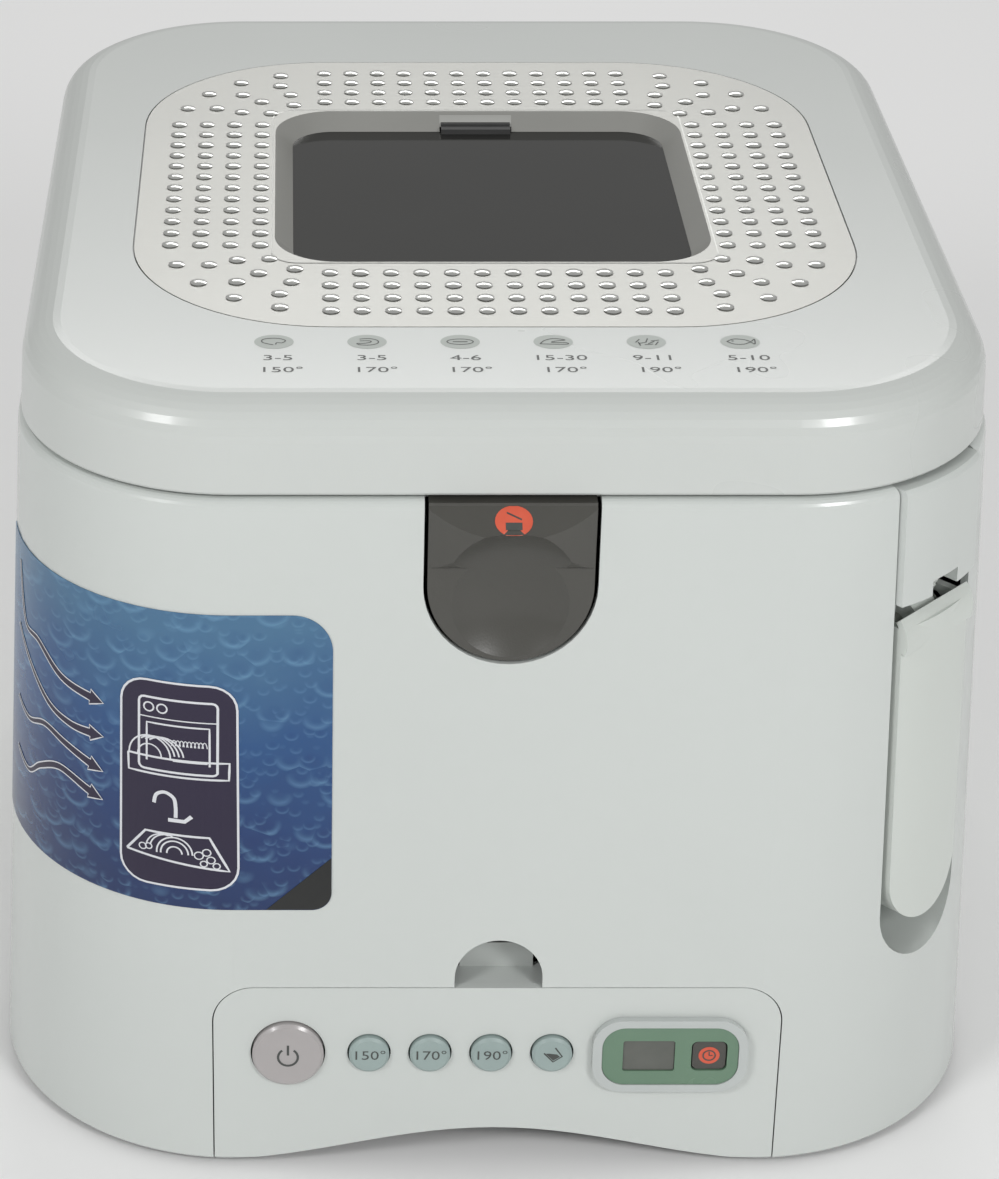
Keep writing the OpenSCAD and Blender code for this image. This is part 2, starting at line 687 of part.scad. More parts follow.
module lid_release() {
  color([0.32, 0.32, 0.3]) difference() {
    union() {
      intersection() {
        front_prism(-body_half_d - 12, -body_half_d + 6) intersection() {
          rel_outline(0);
          translate([-40, rel_low_z - 2]) square([80, deck_z + 1.4 - rel_low_z]);
        }
        on_front(0, rel_low_z) translate([-40, 0, -10]) cube([80, 5.4, 80]);
      }
      // ledge with a bowed front edge
      intersection() {
        translate([0, -body_half_d + 34.6, rel_low_z]) cylinder(h = 60, r = 43);
        rotate([90, 0, 90]) linear_extrude(height = rel_w, center = true) polygon([
          [-body_half_d + 5.4, deck_z - 0.5], [-body_half_d + 1, deck_z - 0.8], [-body_half_d - 9, deck_z - 9],
          [-body_half_d - 9, deck_z - 11.6], [-body_half_d - 3, deck_z - 20], [-body_half_d + 5, deck_z - 26]]);
      }
      // ears around the pivot pin
      for (s = [-1, 1]) translate([s * 15, rel_py, rel_pz]) union() {
        bar_x(4, 6);
        translate([-3, -4.5, -4]) cube([6, 5, 8]);
      }
      // nose that reaches in towards the catch
      translate([-4.5, -body_half_d + 4, well_z - 2]) cube([9, 3.6, 3]);
    }
    // scoop under the ledge
    translate([0, -body_half_d - 33, rel_low_z + 20]) scale([1, 1, 1]) sphere(r = 36, $fn = 96);
    translate([0, rel_py, rel_pz]) bar_x(1.5 + run_fit, 60);
  }
}

module release_pin() {
  color(steel) translate([0, rel_py, rel_pz]) bar_x(1.5, 46);
}

module release_spring() {
  color(steel) translate([0, -body_half_d + 7.2, rel_pz + 14]) rotate([-90, 0, 0]) union() {
    for (i = [0:4]) translate([0, 0, i * 1.5]) rotate_extrude() translate([3, 0]) circle(0.5, $fn = 16);
    translate([3, 0, 0]) cylinder(h = 6, r = 0.5, $fn = 16);
    translate([-3, 0, 0]) cylinder(h = 6, r = 0.5, $fn = 16);
  }
}

// ---- bowl, heater, basket ----

module oil_bowl() {
  color([0.5, 0.5, 0.5]) difference() {
    union() {
      ring_solid(bx, by, [[bowl_r - 6, bowl_floor_z - 1.6], [bowl_r - 2, bowl_floor_z + 2], [bowl_r, bowl_floor_z + 8],
        [bowl_r, rim_z]]);
      ring_solid(bx, by, [[bowl_r + 9, well_z], [bowl_r + 9, rim_z]]);
    }
    ring_solid(bx, by, [[bowl_r - 8, bowl_floor_z], [bowl_r - 4, bowl_floor_z + 3], [bowl_r - 1.6, bowl_floor_z + 9],
      [bowl_r - 1.6, rim_z + 1]]);
    // notch for the lift arm
    at_corner() translate([-25, -9, pivot_z - 38]) cube([70, 18, 90]);
  }
}

module heater_plate() {
  color([0.66, 0.66, 0.66]) difference() {
    translate([0, 0, bowl_floor_z - 6.4]) cylinder(h = 4.7, r = 88);
    translate([0, 0, bowl_floor_z - 10]) cylinder(h = 20, r = 11);
    translate([0, 0, bowl_floor_z - 6.4]) rotate_extrude() translate([66, 0]) circle(3.6, $fn = 32);
  }
}

module heating_element() {
  color([0.3, 0.28, 0.27]) union() {
    translate([0, 0, bowl_floor_z - 6.6]) difference() {
      rotate_extrude() translate([66, 0]) circle(3.4, $fn = 32);
      translate([-8, 40, -5]) cube([16, 40, 10]);
    }
    for (s = [-1, 1]) translate([s * 11, 65.1, bowl_floor_z - 6.6]) union() {
      sphere(3.4, $fn = 32);
      translate([0, 0, -24]) cylinder(h = 24, r = 3.4, $fn = 32);
      translate([0, 0, -31]) cylinder(h = 8, r = 1.4, $fn = 24);
    }
  }
}

module probe_holder() {
  color(steel) union() {
    translate([0, 0, bowl_floor_z - 16]) cylinder(h = 14.3, r = 6);
    translate([0, 0, bowl_floor_z - 16]) cylinder(h = 3, r = 15);
    translate([-4, -4, bowl_floor_z - 24]) cube([8, 8, 9]);
  }
}

module thermal_cutout() {
  color([0.9, 0.88, 0.8]) union() {
    translate([0, -38, bowl_floor_z - 12]) cylinder(h = 5.5, r = 8);
    translate([0, -38, bowl_floor_z - 18]) cylinder(h = 6.1, r = 5);
    translate([-11, -42, bowl_floor_z - 12.2]) cube([22, 8, 1.2]);
  }
}

module heat_shield() {
  color(steel) difference() {
    ring_solid(bx, by, [[bowl_r + 4, bowl_floor_z - 22.8], [bowl_r + 6, bowl_floor_z - 20], [bowl_r + 6, pivot_z - 42]]);
    ring_solid(bx, by, [[bowl_r + 3.4, bowl_floor_z - 22], [bowl_r + 5.2, bowl_floor_z - 19.6],
      [bowl_r + 5.2, pivot_z]]);
    for (s = [-1, 1]) translate([s * 11, 65.1, bowl_floor_z - 40]) cylinder(h = 30, r = 5.5);
    translate([-7, -7, bowl_floor_z - 30]) cube([14, 14, 12]);
  }
}

module frying_basket() {
  color(steel) difference() {
    union() {
      difference() {
        ring_solid(bx, by, [[bowl_r - 16, basket_floor_z], [bowl_r - 12, basket_floor_z + 4],
          [bowl_r - 9, basket_rim_z]]);
        ring_solid(bx, by, [[bowl_r - 17.4, basket_floor_z + 1.4], [bowl_r - 13.4, basket_floor_z + 5],
          [bowl_r - 10.4, basket_rim_z + 1]]);
      }
      difference() {
        ring_solid(bx, by, [[bowl_r - 7.6, basket_rim_z - 3], [bowl_r - 7, basket_rim_z - 2.2],
          [bowl_r - 7, basket_rim_z - 0.8], [bowl_r - 7.6, basket_rim_z]]);
        ring_solid(bx, by, [[bowl_r - 10.5, basket_rim_z - 5], [bowl_r - 10.5, basket_rim_z + 1]]);
      }
    }
    // way through for the lift arm
    at_corner() translate([-30, -6.5, tip_z - 22]) cube([60, 13, 60]);
    // drain slots in the floor
    for (ix = [-6:6], iy = [-2:2]) translate([ix * 12 - 3, iy * 36 - 14, basket_floor_z - 2]) cube([6, 28, 6]);
    // slots through the side walls
    for (i = [-3:3]) translate([-200, i * 18 - 5, basket_floor_z + 10]) cube([400, 10, basket_h - 18]);
    for (i = [-2:2]) translate([i * 18 - 5, -200, basket_floor_z + 10]) cube([10, 400, basket_h - 18]);
  }
}

slot_u0 = gu - lift_arm_l - 1.2;
slot_u1 = gu - lift_arm_l * cos(45) + 1.2;

module basket_riser() {
  color(steel) at_corner() difference() {
    union() {
      for (s = [-1, 1]) translate([slot_u0 - 6, s * 8.4 - 1.2, basket_floor_z + 24]) union() {
        cube([slot_u1 - slot_u0 + 9.5, 2.4, tip_z + 9 - basket_floor_z - 24]);
      }
      translate([slot_u0 - 6, -9.6, basket_floor_z + 24]) cube([3, 19.2, 18]);
    }
    // horizontal slots the lift pin runs in
    for (u = [slot_u0:0.001:slot_u0]) translate([0, 0, tip_z]) rotate([90, 0, 0])
      linear_extrude(height = 40, center = true) union() {
        translate([slot_u0, -4.1]) square([slot_u1 - slot_u0, 8.2]);
        translate([slot_u0, 0]) circle(4.1);
        translate([slot_u1, 0]) circle(4.1);
      }
  }
}

// ---- handle and lift ----

module handle_block() {
  color(white) difference() {
    union() {
      intersection() {
        body_outer(grow = 2.0);
        at_corner() translate([ref - 8, -block_w / 2, pivot_z + 6]) cube([40, block_w, deck_z - 0.6 - pivot_z - 6]);
      }
      at_corner() {
        translate([gu - 12, -12.9, pivot_z + 8]) cube([ref - 6 - gu + 12, 25.8, deck_z - 0.6 - pivot_z - 8]);
        translate([gu - 12, -12.9, pivot_z - 11]) cube([ref - 13 - gu + 5, 25.8, 20]);
        translate([pu, 0, pivot_z]) bar_y(7.4, 25.8);
        translate([pu - 12, -12.9, pivot_z - 7]) cube([12, 25.8, 14]);
      }
    }
    // room for the bowl flange, the lid liner and its seal
    ring_solid(bx, by, [[bowl_r + 10.4, well_z - 0.5], [bowl_r + 10.4, deck_z + 5]]);
    ring_solid(bx, by, [[bowl_r + 0.8, 0], [bowl_r + 0.8, deck_z + 5]]);
    at_corner() {
      // room for the swinging end of the handle
      difference() {
        translate([pu, 0, pivot_z]) bar_y(14.2, 80);
        translate([pu, 0, pivot_z]) bar_y(7.4, 25.8);
        translate([pu - 20, -12.9, pivot_z - 7]) cube([20, 25.8, 14]);
      }
      // underside that the handle's outer face swings past
      translate([pu, -40, pivot_z]) cube([60, 80, 13.6]);
      // slot for the gears and the lift arm
      translate([gu - 30, -6.3, pivot_z - 60]) cube([pu + 24 - gu + 26, 12.6, 60 + gear_a + 1.4]);
      translate([gu - 30, -6.3, pivot_z - 20]) cube([30, 12.6, 75]);
      translate([pu, 0, pivot_z]) bar_y(2.5 + run_fit, 80);
      translate([gu, 0, pivot_z]) bar_y(2.5, 80);
      // side clearance for the handle's cheeks
      for (s = [-1, 1]) translate([pu - 14, s * 16.4 - 3.5, pivot_z - 14]) cube([30, 7, 20]);
    }
  }
}

module basket_handle() {
  color(white) at_corner() difference() {
    union() {
      // shell that follows the wall when folded
      intersection() {
        difference() {
          corner_cone(1.0);
          handle_skin_inner();
        }
        handle_outline(0);
        translate([pu - 2, -50, 0]) cube([60, 100, pivot_z + 5.2]);
      }
      // drum that closes the gap under the block
      translate([pu, 0, pivot_z]) rotate([90, 0, 0]) linear_extrude(height = handle_w, center = true) difference() {
        intersection() {
          circle(12.3);
          polygon([[0, 0], [30, -8], [30, 27], [20, 18]]);
        }
        circle(10.2);
      }
      // web that ties the shell to the hub
      translate([pu, -5.2, pivot_z - 16]) cube([ref - pu + 1.6, 10.4, 16]);
      translate([pu, 0, pivot_z]) bar_y(8, 10.4);
      translate([pu, 0, pivot_z]) rotate([90, 0, 0]) rotate([0, 0, 180])
        linear_extrude(height = 10.4, center = true) intersection() {
          gear2d([0, 7, 8, 9]);
          rotate(-30) translate([0, -40]) square([40, 80]);
        }
    }
    translate([pu, 0, pivot_z]) bar_y(2.5, 40);
  }
}

// outline of the handle seen along the corner
module handle_outline(grow) {
  rotate([90, 0, 90]) linear_extrude(height = 120) union() {
    translate([-handle_w / 2 - grow, handle_low_z + handle_w / 2]) square([handle_w + 2 * grow, 140]);
    translate([0, handle_low_z + handle_w / 2]) circle(handle_w / 2 + grow);
  }
}

// cone of the body corner in the corner frame
module corner_cone(grow) {
  z = handle_low_z - 5;
  rotate_extrude() polygon([[0, z], [wo(z) + grow, z], [wo(shoulder_z) + grow, shoulder_z], [0, shoulder_z]]);
}

module handle_skin_inner() {
  intersection() {
    rotate([90, 0, 90]) linear_extrude(height = 120) union() {
      translate([-handle_w / 2 + 2.6, handle_low_z + handle_w / 2]) square([handle_w - 5.2, 140]);
      translate([0, handle_low_z + handle_w / 2]) circle(handle_w / 2 - 2.6);
    }
    corner_cone(-2.2);
  }
}

module handle_pin() {
  color(steel) at_corner() translate([pu, 0, pivot_z]) bar_y(2.5, 25.4);
}

module lift_gear_arm() {
  color([0.75, 0.74, 0.7]) at_corner() difference() {
    union() {
      translate([gu, 0, pivot_z]) rotate([90, 0, 0]) linear_extrude(height = 9.2, center = true) union() {
        rotate(18) gear2d([-1, 0, 1, 2]);
        rotate(225) translate([0, -4.5]) square([lift_arm_l, 9]);
        rotate(225) translate([lift_arm_l, 0]) circle(4.5);
      }
    }
    translate([gu, 0, pivot_z]) bar_y(2.5 + run_fit, 40);
    translate([gu - lift_arm_l * cos(45), 0, tip_z]) bar_y(2.5, 40);
  }
}

module lift_gear_pin() {
  color(steel) at_corner() translate([gu, 0, pivot_z]) bar_y(2.5, 25.4);
}

module lift_pin() {
  color(steel) at_corner() translate([gu - lift_arm_l * cos(45), 0, tip_z]) bar_y(2.5, 22);
}

module cord_gland() {
  color(dark) translate([60, hy + wo(30), 30]) rotate([-90 + draft, 0, 0]) difference() {
    union() {
      translate([0, 0, -6]) cylinder(h = 7, r = 8);
      translate([0, 0, 0.05]) cylinder(h = 1.79, r = 11);
      translate([0, 0, -5.2]) cylinder(h = 2.4, r = 11);
    }
    translate([0, 0, -10]) cylinder(h = 20, r = 3.6);
  }
}

module wiring_loom() {
  color([0.15, 0.15, 0.16]) union() {
    for (x = [-11, 11]) {
      translate([x, -37.9, foot_h + 24]) rotate([-90, 0, 0]) cylinder(h = 103, r = 1.6, $fn = 24);
      translate([x, 65.1, foot_h + 24]) sphere(1.6, $fn = 24);
      translate([x, 65.1, foot_h + 24]) cylinder(h = 19.4, r = 1.6, $fn = 24);
    }
    translate([60, 60, 30]) rotate([-90, 0, 0]) cylinder(h = 113, r = 3.4, $fn = 32);
    translate([60, 60, 30]) sphere(3.4, $fn = 32);
    translate([11, 60, 30]) rotate([0, 90, 0]) cylinder(h = 49, r = 3.4, $fn = 32);
  }
}

module side_film() {
  color([0.25, 0.6, 0.85]) intersection() {
    difference() {
      body_outer(grow = 0.3);
      body_outer(grow = 0.05);
    }
    union() {
      front_prism(-260, -50) film_outline();
    }
    translate([-200, -220, 0]) cube([400, 107, 300]);
  }
}

module film_outline() {
  union() {
    translate([-200, 108]) square([148, 77]);
    translate([-200, 96]) square([142, 20]);
    translate([-200, 102]) square([148, 20]);
    translate([-64, 185]) circle(12);
    translate([-58, 102]) circle(6);
    translate([-200, 96]) square([136, 101]);
  }
}

body_shell();
control_panel();
base_tray();
rubber_feet();
base_screws();
power_button();
temp_button_150();
temp_button_170();
temp_button_190();
melt_button();
module_tray();
module_plug();
display_bezel();
display_fascia();
lcd_screen();
timer_button();
control_board();
power_board();
transformer();
lid_shell();
lid_trim_plate();
window_glass();
window_gasket();
window_clip();
lid_liner();
lid_seal();
steam_filter();
filter_cover();
hinge_brackets();
hinge_screws();
hinge_pins();
lid_spring();
lid_catch();
lid_release();
release_pin();
release_spring();
oil_bowl();
heater_plate();
heating_element();
heater_socket();
probe_holder();
thermal_cutout();
heat_shield();
frying_basket();
basket_riser();
handle_block();
basket_handle();
handle_pin();
lift_gear_arm();
lift_gear_pin();
lift_pin();
cord_gland();
wiring_loom();
side_film();
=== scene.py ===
import math
import bpy
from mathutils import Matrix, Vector
from mathutils.geometry import tessellate_polygon


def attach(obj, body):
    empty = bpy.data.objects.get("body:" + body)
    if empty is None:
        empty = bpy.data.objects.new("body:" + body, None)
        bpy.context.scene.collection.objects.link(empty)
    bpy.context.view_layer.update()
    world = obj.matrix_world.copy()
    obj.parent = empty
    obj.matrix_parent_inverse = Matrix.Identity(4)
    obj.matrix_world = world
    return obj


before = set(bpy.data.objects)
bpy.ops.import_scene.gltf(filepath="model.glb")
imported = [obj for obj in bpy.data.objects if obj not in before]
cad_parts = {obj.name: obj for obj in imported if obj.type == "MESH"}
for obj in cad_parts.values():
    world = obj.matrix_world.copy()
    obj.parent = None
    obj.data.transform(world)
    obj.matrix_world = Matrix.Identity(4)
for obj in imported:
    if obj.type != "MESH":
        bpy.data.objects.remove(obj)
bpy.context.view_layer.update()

# ---- main sizes of the fryer, millimetres, as in the part's source ----
SHOULDER_Z = 231.0
CORNER_R = 66.0
HALF_X, HALF_Y = 82.2, 104.4          # centres of the plan corners
LEAN = math.radians(2.81)
LID_TOP = 263.7
KEY_ROW = 43.7
MM = 0.001


def wall_offset(z):
    return CORNER_R + (SHOULDER_Z - z) * math.tan(LEAN)


# ---- camera ----
camera_data = bpy.data.cameras.new("front_view")
camera = bpy.data.objects.new("front_view", camera_data)
bpy.context.scene.collection.objects.link(camera)
camera.location = (-0.06595, -1.01793, 0.67980)
camera.rotation_euler = (math.radians(62.644), 0.0, 0.0)
camera_data.sensor_width = 36.0
camera_data.lens = 101.02
camera_data.shift_x = 0.1812
camera_data.shift_y = -0.0937
bpy.context.scene.camera = camera

# ---- floor and studio light ----
bpy.context.scene.view_settings.view_transform = "Standard"
world = bpy.data.worlds.new("pale_room")
bpy.context.scene.world = world
world.use_nodes = True
world.node_tree.nodes["Background"].inputs["Color"].default_value = (1.0, 1.0, 0.99, 1.0)
world.node_tree.nodes["Background"].inputs["Strength"].default_value = 0.45


def softbox(name, place, aim, width, height, power):
    data = bpy.data.lights.new(name, "AREA")
    data.shape = "RECTANGLE"
    data.size, data.size_y, data.energy = width, height, power
    lamp = bpy.data.objects.new(name, data)
    lamp.location = place
    lamp.rotation_euler = (Vector(aim) - Vector(place)).to_track_quat("-Z", "Y").to_euler()
    bpy.context.scene.collection.objects.link(lamp)
    return lamp


softbox("left_softbox", (-1.05, -1.25, 1.15), (0, 0, 0.15), 0.42, 0.36, 9.0)
softbox("right_softbox", (0.85, -1.45, 1.05), (0, 0, 0.15), 0.42, 0.36, 10.5)
softbox("rear_strip", (0.1, 1.5, 1.25), (0, 0, 0.25), 1.1, 0.35, 6.0)


# ---- shared shader groups ----

def group_with(name, inputs, outputs):
    group = bpy.data.node_groups.new(name, "ShaderNodeTree")
    for label, kind, value in inputs:
        socket = group.interface.new_socket(label, in_out="INPUT", socket_type=kind)
        socket.default_value = value
    for label, kind in outputs:
        group.interface.new_socket(label, in_out="OUTPUT", socket_type=kind)
    return group, group.nodes.new("NodeGroupInput"), group.nodes.new("NodeGroupOutput")


def node(tree, kind, **values):
    made = tree.nodes.new(kind)
    for key, value in values.items():
        if hasattr(made, key):
            setattr(made, key, value)
        else:
            made.inputs[key].default_value = value
    return made


def moulding_grain():
    """Tone, gloss and grain that drift slowly over a moulded or rolled surface."""
    group, given, out = group_with("surface drift", [
        ("Dark", "NodeSocketColor", (0.5, 0.5, 0.5, 1)), ("Pale", "NodeSocketColor", (0.6, 0.6, 0.6, 1)),
        ("Patch scale", "NodeSocketFloat", 12.0), ("Grain scale", "NodeSocketFloat", 900.0),
        ("Grain depth", "NodeSocketFloat", 0.05), ("Gloss low", "NodeSocketFloat", 0.25),
        ("Gloss high", "NodeSocketFloat", 0.35), ("Stretch", "NodeSocketVector", (1.0, 1.0, 1.0))],
        [("Tone", "NodeSocketColor"), ("Roughness", "NodeSocketFloat"), ("Normal", "NodeSocketVector")])
    link = group.links.new
    place = node(group, "ShaderNodeTexCoord")
    patch = node(group, "ShaderNodeTexNoise", Detail=3.0)
    link(place.outputs["Object"], patch.inputs["Vector"])
    link(given.outputs["Patch scale"], patch.inputs["Scale"])
    tone = node(group, "ShaderNodeMix", data_type="RGBA")
    link(patch.outputs["Fac"], tone.inputs[0])
    link(given.outputs["Dark"], tone.inputs[6])
    link(given.outputs["Pale"], tone.inputs[7])
    link(tone.outputs[2], out.inputs["Tone"])
    gloss = node(group, "ShaderNodeMapRange")
    link(patch.outputs["Fac"], gloss.inputs["Value"])
    link(given.outputs["Gloss low"], gloss.inputs["To Min"])
    link(given.outputs["Gloss high"], gloss.inputs["To Max"])
    link(gloss.outputs["Result"], out.inputs["Roughness"])
    spread = node(group, "ShaderNodeVectorMath", operation="MULTIPLY")
    link(place.outputs["Object"], spread.inputs[0])
    link(given.outputs["Stretch"], spread.inputs[1])
    grain = node(group, "ShaderNodeTexNoise", Detail=2.0)
    link(spread.outputs["Vector"], grain.inputs["Vector"])
    link(given.outputs["Grain scale"], grain.inputs["Scale"])
    bump = node(group, "ShaderNodeBump", Distance=0.0004)
    link(grain.outputs["Fac"], bump.inputs["Height"])
    link(given.outputs["Grain depth"], bump.inputs["Strength"])
    link(bump.outputs["Normal"], out.inputs["Normal"])
    return group


DRIFT = moulding_grain()


def finish(name, dark, pale, gloss=(0.25, 0.35), metallic=0.0, coat=0.0, grain=(900.0, 0.05), patch=12.0,
           stretch=(1.0, 1.0, 1.0), **constants):
    material = bpy.data.materials.new(name)
    material.use_nodes = True
    tree = material.node_tree
    shader = tree.nodes["Principled BSDF"]
    drift = tree.nodes.new("ShaderNodeGroup")
    drift.node_tree = DRIFT
    drift.inputs["Dark"].default_value = (*dark, 1.0)
    drift.inputs["Pale"].default_value = (*pale, 1.0)
    drift.inputs["Patch scale"].default_value = patch
    drift.inputs["Grain scale"].default_value, drift.inputs["Grain depth"].default_value = grain
    drift.inputs["Gloss low"].default_value, drift.inputs["Gloss high"].default_value = gloss
    drift.inputs["Stretch"].default_value = stretch
    tree.links.new(drift.outputs["Tone"], shader.inputs["Base Color"])
    tree.links.new(drift.outputs["Roughness"], shader.inputs["Roughness"])
    tree.links.new(drift.outputs["Normal"], shader.inputs["Normal"])
    shader.inputs["Metallic"].default_value = metallic
    shader.inputs["Coat Weight"].default_value = coat
    shader.inputs["Coat Roughness"].default_value = 0.12
    for key, value in constants.items():
        shader.inputs[key.replace("_", " ")].default_value = value
    return material


gloss_white = finish("gloss white ABS",
    (0.575, 0.605, 0.585), (0.61, 0.64, 0.62), (0.20, 0.27), coat=0.25, grain=(1400.0, 0.03), patch=7.0)
lid_white = finish("lid white ABS",
    (0.56, 0.585, 0.565), (0.595, 0.62, 0.60), (0.24, 0.32), coat=0.2, grain=(1400.0, 0.04), patch=7.0)
handle_white = finish("handle white ABS",
    (0.60, 0.635, 0.60), (0.64, 0.675, 0.64), (0.26, 0.34), coat=0.15, grain=(1100.0, 0.05), patch=9.0)
satin_alloy = finish("satin aluminium",
    (0.40, 0.40, 0.38), (0.46, 0.46, 0.435), (0.34, 0.44), metallic=0.8, grain=(700.0, 0.10), patch=16.0,
    stretch=(0.25, 1.6, 1.0))
# the beads are the plate's own aluminium, painted paler than the plate as a painted highlight
bead_alloy_painted_highlight = finish("pressed bead aluminium, painted highlight",
    (0.58, 0.585, 0.565), (0.66, 0.665, 0.645), (0.17, 0.23), metallic=0.9, grain=(1500.0, 0.02),
    patch=60.0)
# the bevel is the plate's own aluminium, painted paler than the plate as a painted highlight
bevel_alloy_painted_highlight = finish("window bevel aluminium, painted highlight",
    (0.52, 0.525, 0.50), (0.60, 0.605, 0.58), (0.30, 0.38), metallic=0.75, grain=(900.0, 0.05), patch=20.0)
window_tint = finish("smoked window glass",
    (0.018, 0.018, 0.017), (0.03, 0.03, 0.028), (0.05, 0.08), grain=(300.0, 0.008), patch=8.0,
    Specular_IOR_Level=0.38)
gasket_black = finish("window gasket rubber",
    (0.03, 0.03, 0.03), (0.05, 0.05, 0.05), (0.55, 0.7), grain=(1600.0, 0.2), patch=40.0)
release_grey = finish("warm grey release moulding",
    (0.058, 0.057, 0.050), (0.075, 0.073, 0.065), (0.33, 0.42), coat=0.1, grain=(1600.0, 0.10), patch=22.0)
mauve_key = finish("mauve grey power key",
    (0.37, 0.35, 0.35), (0.44, 0.415, 0.41), (0.25, 0.34), coat=0.35, grain=(1500.0, 0.05), patch=60.0)
blue_key = finish("blue grey rubber key",
    (0.29, 0.36, 0.35), (0.34, 0.42, 0.405), (0.38, 0.48), grain=(1500.0, 0.12), patch=80.0)
ring_grey = finish("display bezel grey",
    (0.46, 0.49, 0.48), (0.52, 0.55, 0.54), (0.16, 0.24), coat=0.5, grain=(1200.0, 0.03), patch=40.0)
fascia_green = finish("display fascia green",
    (0.115, 0.205, 0.135), (0.145, 0.245, 0.165), (0.22, 0.30), coat=0.4, grain=(1200.0, 0.04), patch=40.0)
lcd_glass = finish("display crystal",
    (0.09, 0.095, 0.085), (0.13, 0.135, 0.12), (0.18, 0.26), coat=0.2, grain=(500.0, 0.01), patch=120.0)
print_grey = finish("grey print",
    (0.05, 0.055, 0.052), (0.08, 0.085, 0.08), (0.4, 0.5), grain=(1800.0, 0.05), patch=200.0)
disc_grey = finish("food disc print",
    (0.33, 0.365, 0.335), (0.38, 0.415, 0.385), (0.3, 0.4), grain=(1500.0, 0.04), patch=150.0)
pale_print = finish("pale print",
    (0.62, 0.64, 0.68), (0.72, 0.73, 0.76), (0.3, 0.4), grain=(1500.0, 0.03), patch=100.0)
navy_print = finish("navy print",
    (0.012, 0.008, 0.028), (0.022, 0.014, 0.045), (0.3, 0.4), grain=(900.0, 0.02), patch=30.0)
black_print = finish("black print",
    (0.008, 0.009, 0.009), (0.02, 0.021, 0.02), (0.3, 0.4), grain=(900.0, 0.03), patch=50.0)
red_print = finish("orange red print",
    (0.60, 0.085, 0.045), (0.72, 0.13, 0.07), (0.3, 0.4), grain=(1500.0, 0.03), patch=120.0)
steel_bright = finish("stainless wire steel",
    (0.48, 0.48, 0.47), (0.60, 0.60, 0.58), (0.18, 0.30), metallic=1.0, grain=(800.0, 0.08), patch=25.0)
steel_bracket = finish("zinc plated steel",
    (0.40, 0.42, 0.44), (0.55, 0.56, 0.55), (0.28, 0.42), metallic=0.95, grain=(500.0, 0.12), patch=35.0)
liner_steel = finish("brushed liner steel",
    (0.42, 0.42, 0.41), (0.54, 0.54, 0.52), (0.28, 0.38), metallic=0.95, grain=(500.0, 0.16), patch=14.0,
    stretch=(0.12, 2.0, 1.0))
bowl_coat = finish("non-stick bowl coating",
    (0.028, 0.029, 0.03), (0.05, 0.05, 0.052), (0.34, 0.46), grain=(1100.0, 0.30), patch=18.0,
    Specular_IOR_Level=0.55)
heater_alloy = finish("cast heater aluminium",
    (0.34, 0.34, 0.34), (0.48, 0.48, 0.47), (0.45, 0.60), metallic=0.9, grain=(420.0, 0.35), patch=22.0)
dark_moulding = finish("charcoal base moulding",
    (0.035, 0.036, 0.036), (0.055, 0.056, 0.055), (0.45, 0.58), grain=(900.0, 0.22), patch=16.0)
foot_rubber = finish("foot rubber",
    (0.02, 0.02, 0.02), (0.045, 0.044, 0.043), (0.65, 0.8), grain=(1300.0, 0.35), patch=50.0)
seal_silicone = finish("lid seal silicone",
    (0.30, 0.30, 0.29), (0.38, 0.38, 0.37), (0.45, 0.58), grain=(1300.0, 0.12), patch=30.0,
    Subsurface_Weight=0.05)
filter_media = finish("steam filter fleece",
    (0.30, 0.29, 0.26), (0.46, 0.45, 0.41), (0.8, 0.95), grain=(700.0, 0.9), patch=60.0, Sheen_Weight=0.3)
filter_grey = finish("filter cover moulding",
    (0.40, 0.42, 0.41), (0.46, 0.48, 0.47), (0.35, 0.45), grain=(1100.0, 0.10), patch=20.0)
board_green = finish("circuit board laminate",
    (0.02, 0.10, 0.045), (0.035, 0.16, 0.07), (0.28, 0.40), grain=(600.0, 0.25), patch=140.0)
transformer_tape = finish("transformer laminations and tape",
    (0.20, 0.15, 0.05), (0.32, 0.26, 0.10), (0.4, 0.55), grain=(900.0, 0.25), patch=60.0,
    stretch=(1.0, 1.0, 3.0))
cable_sleeve = finish("cable sleeve",
    (0.02, 0.021, 0.023), (0.05, 0.05, 0.052), (0.42, 0.55), grain=(900.0, 0.15), patch=60.0)
socket_black = finish("phenolic socket",
    (0.02, 0.018, 0.016), (0.05, 0.045, 0.04), (0.35, 0.5), grain=(700.0, 0.2), patch=45.0)


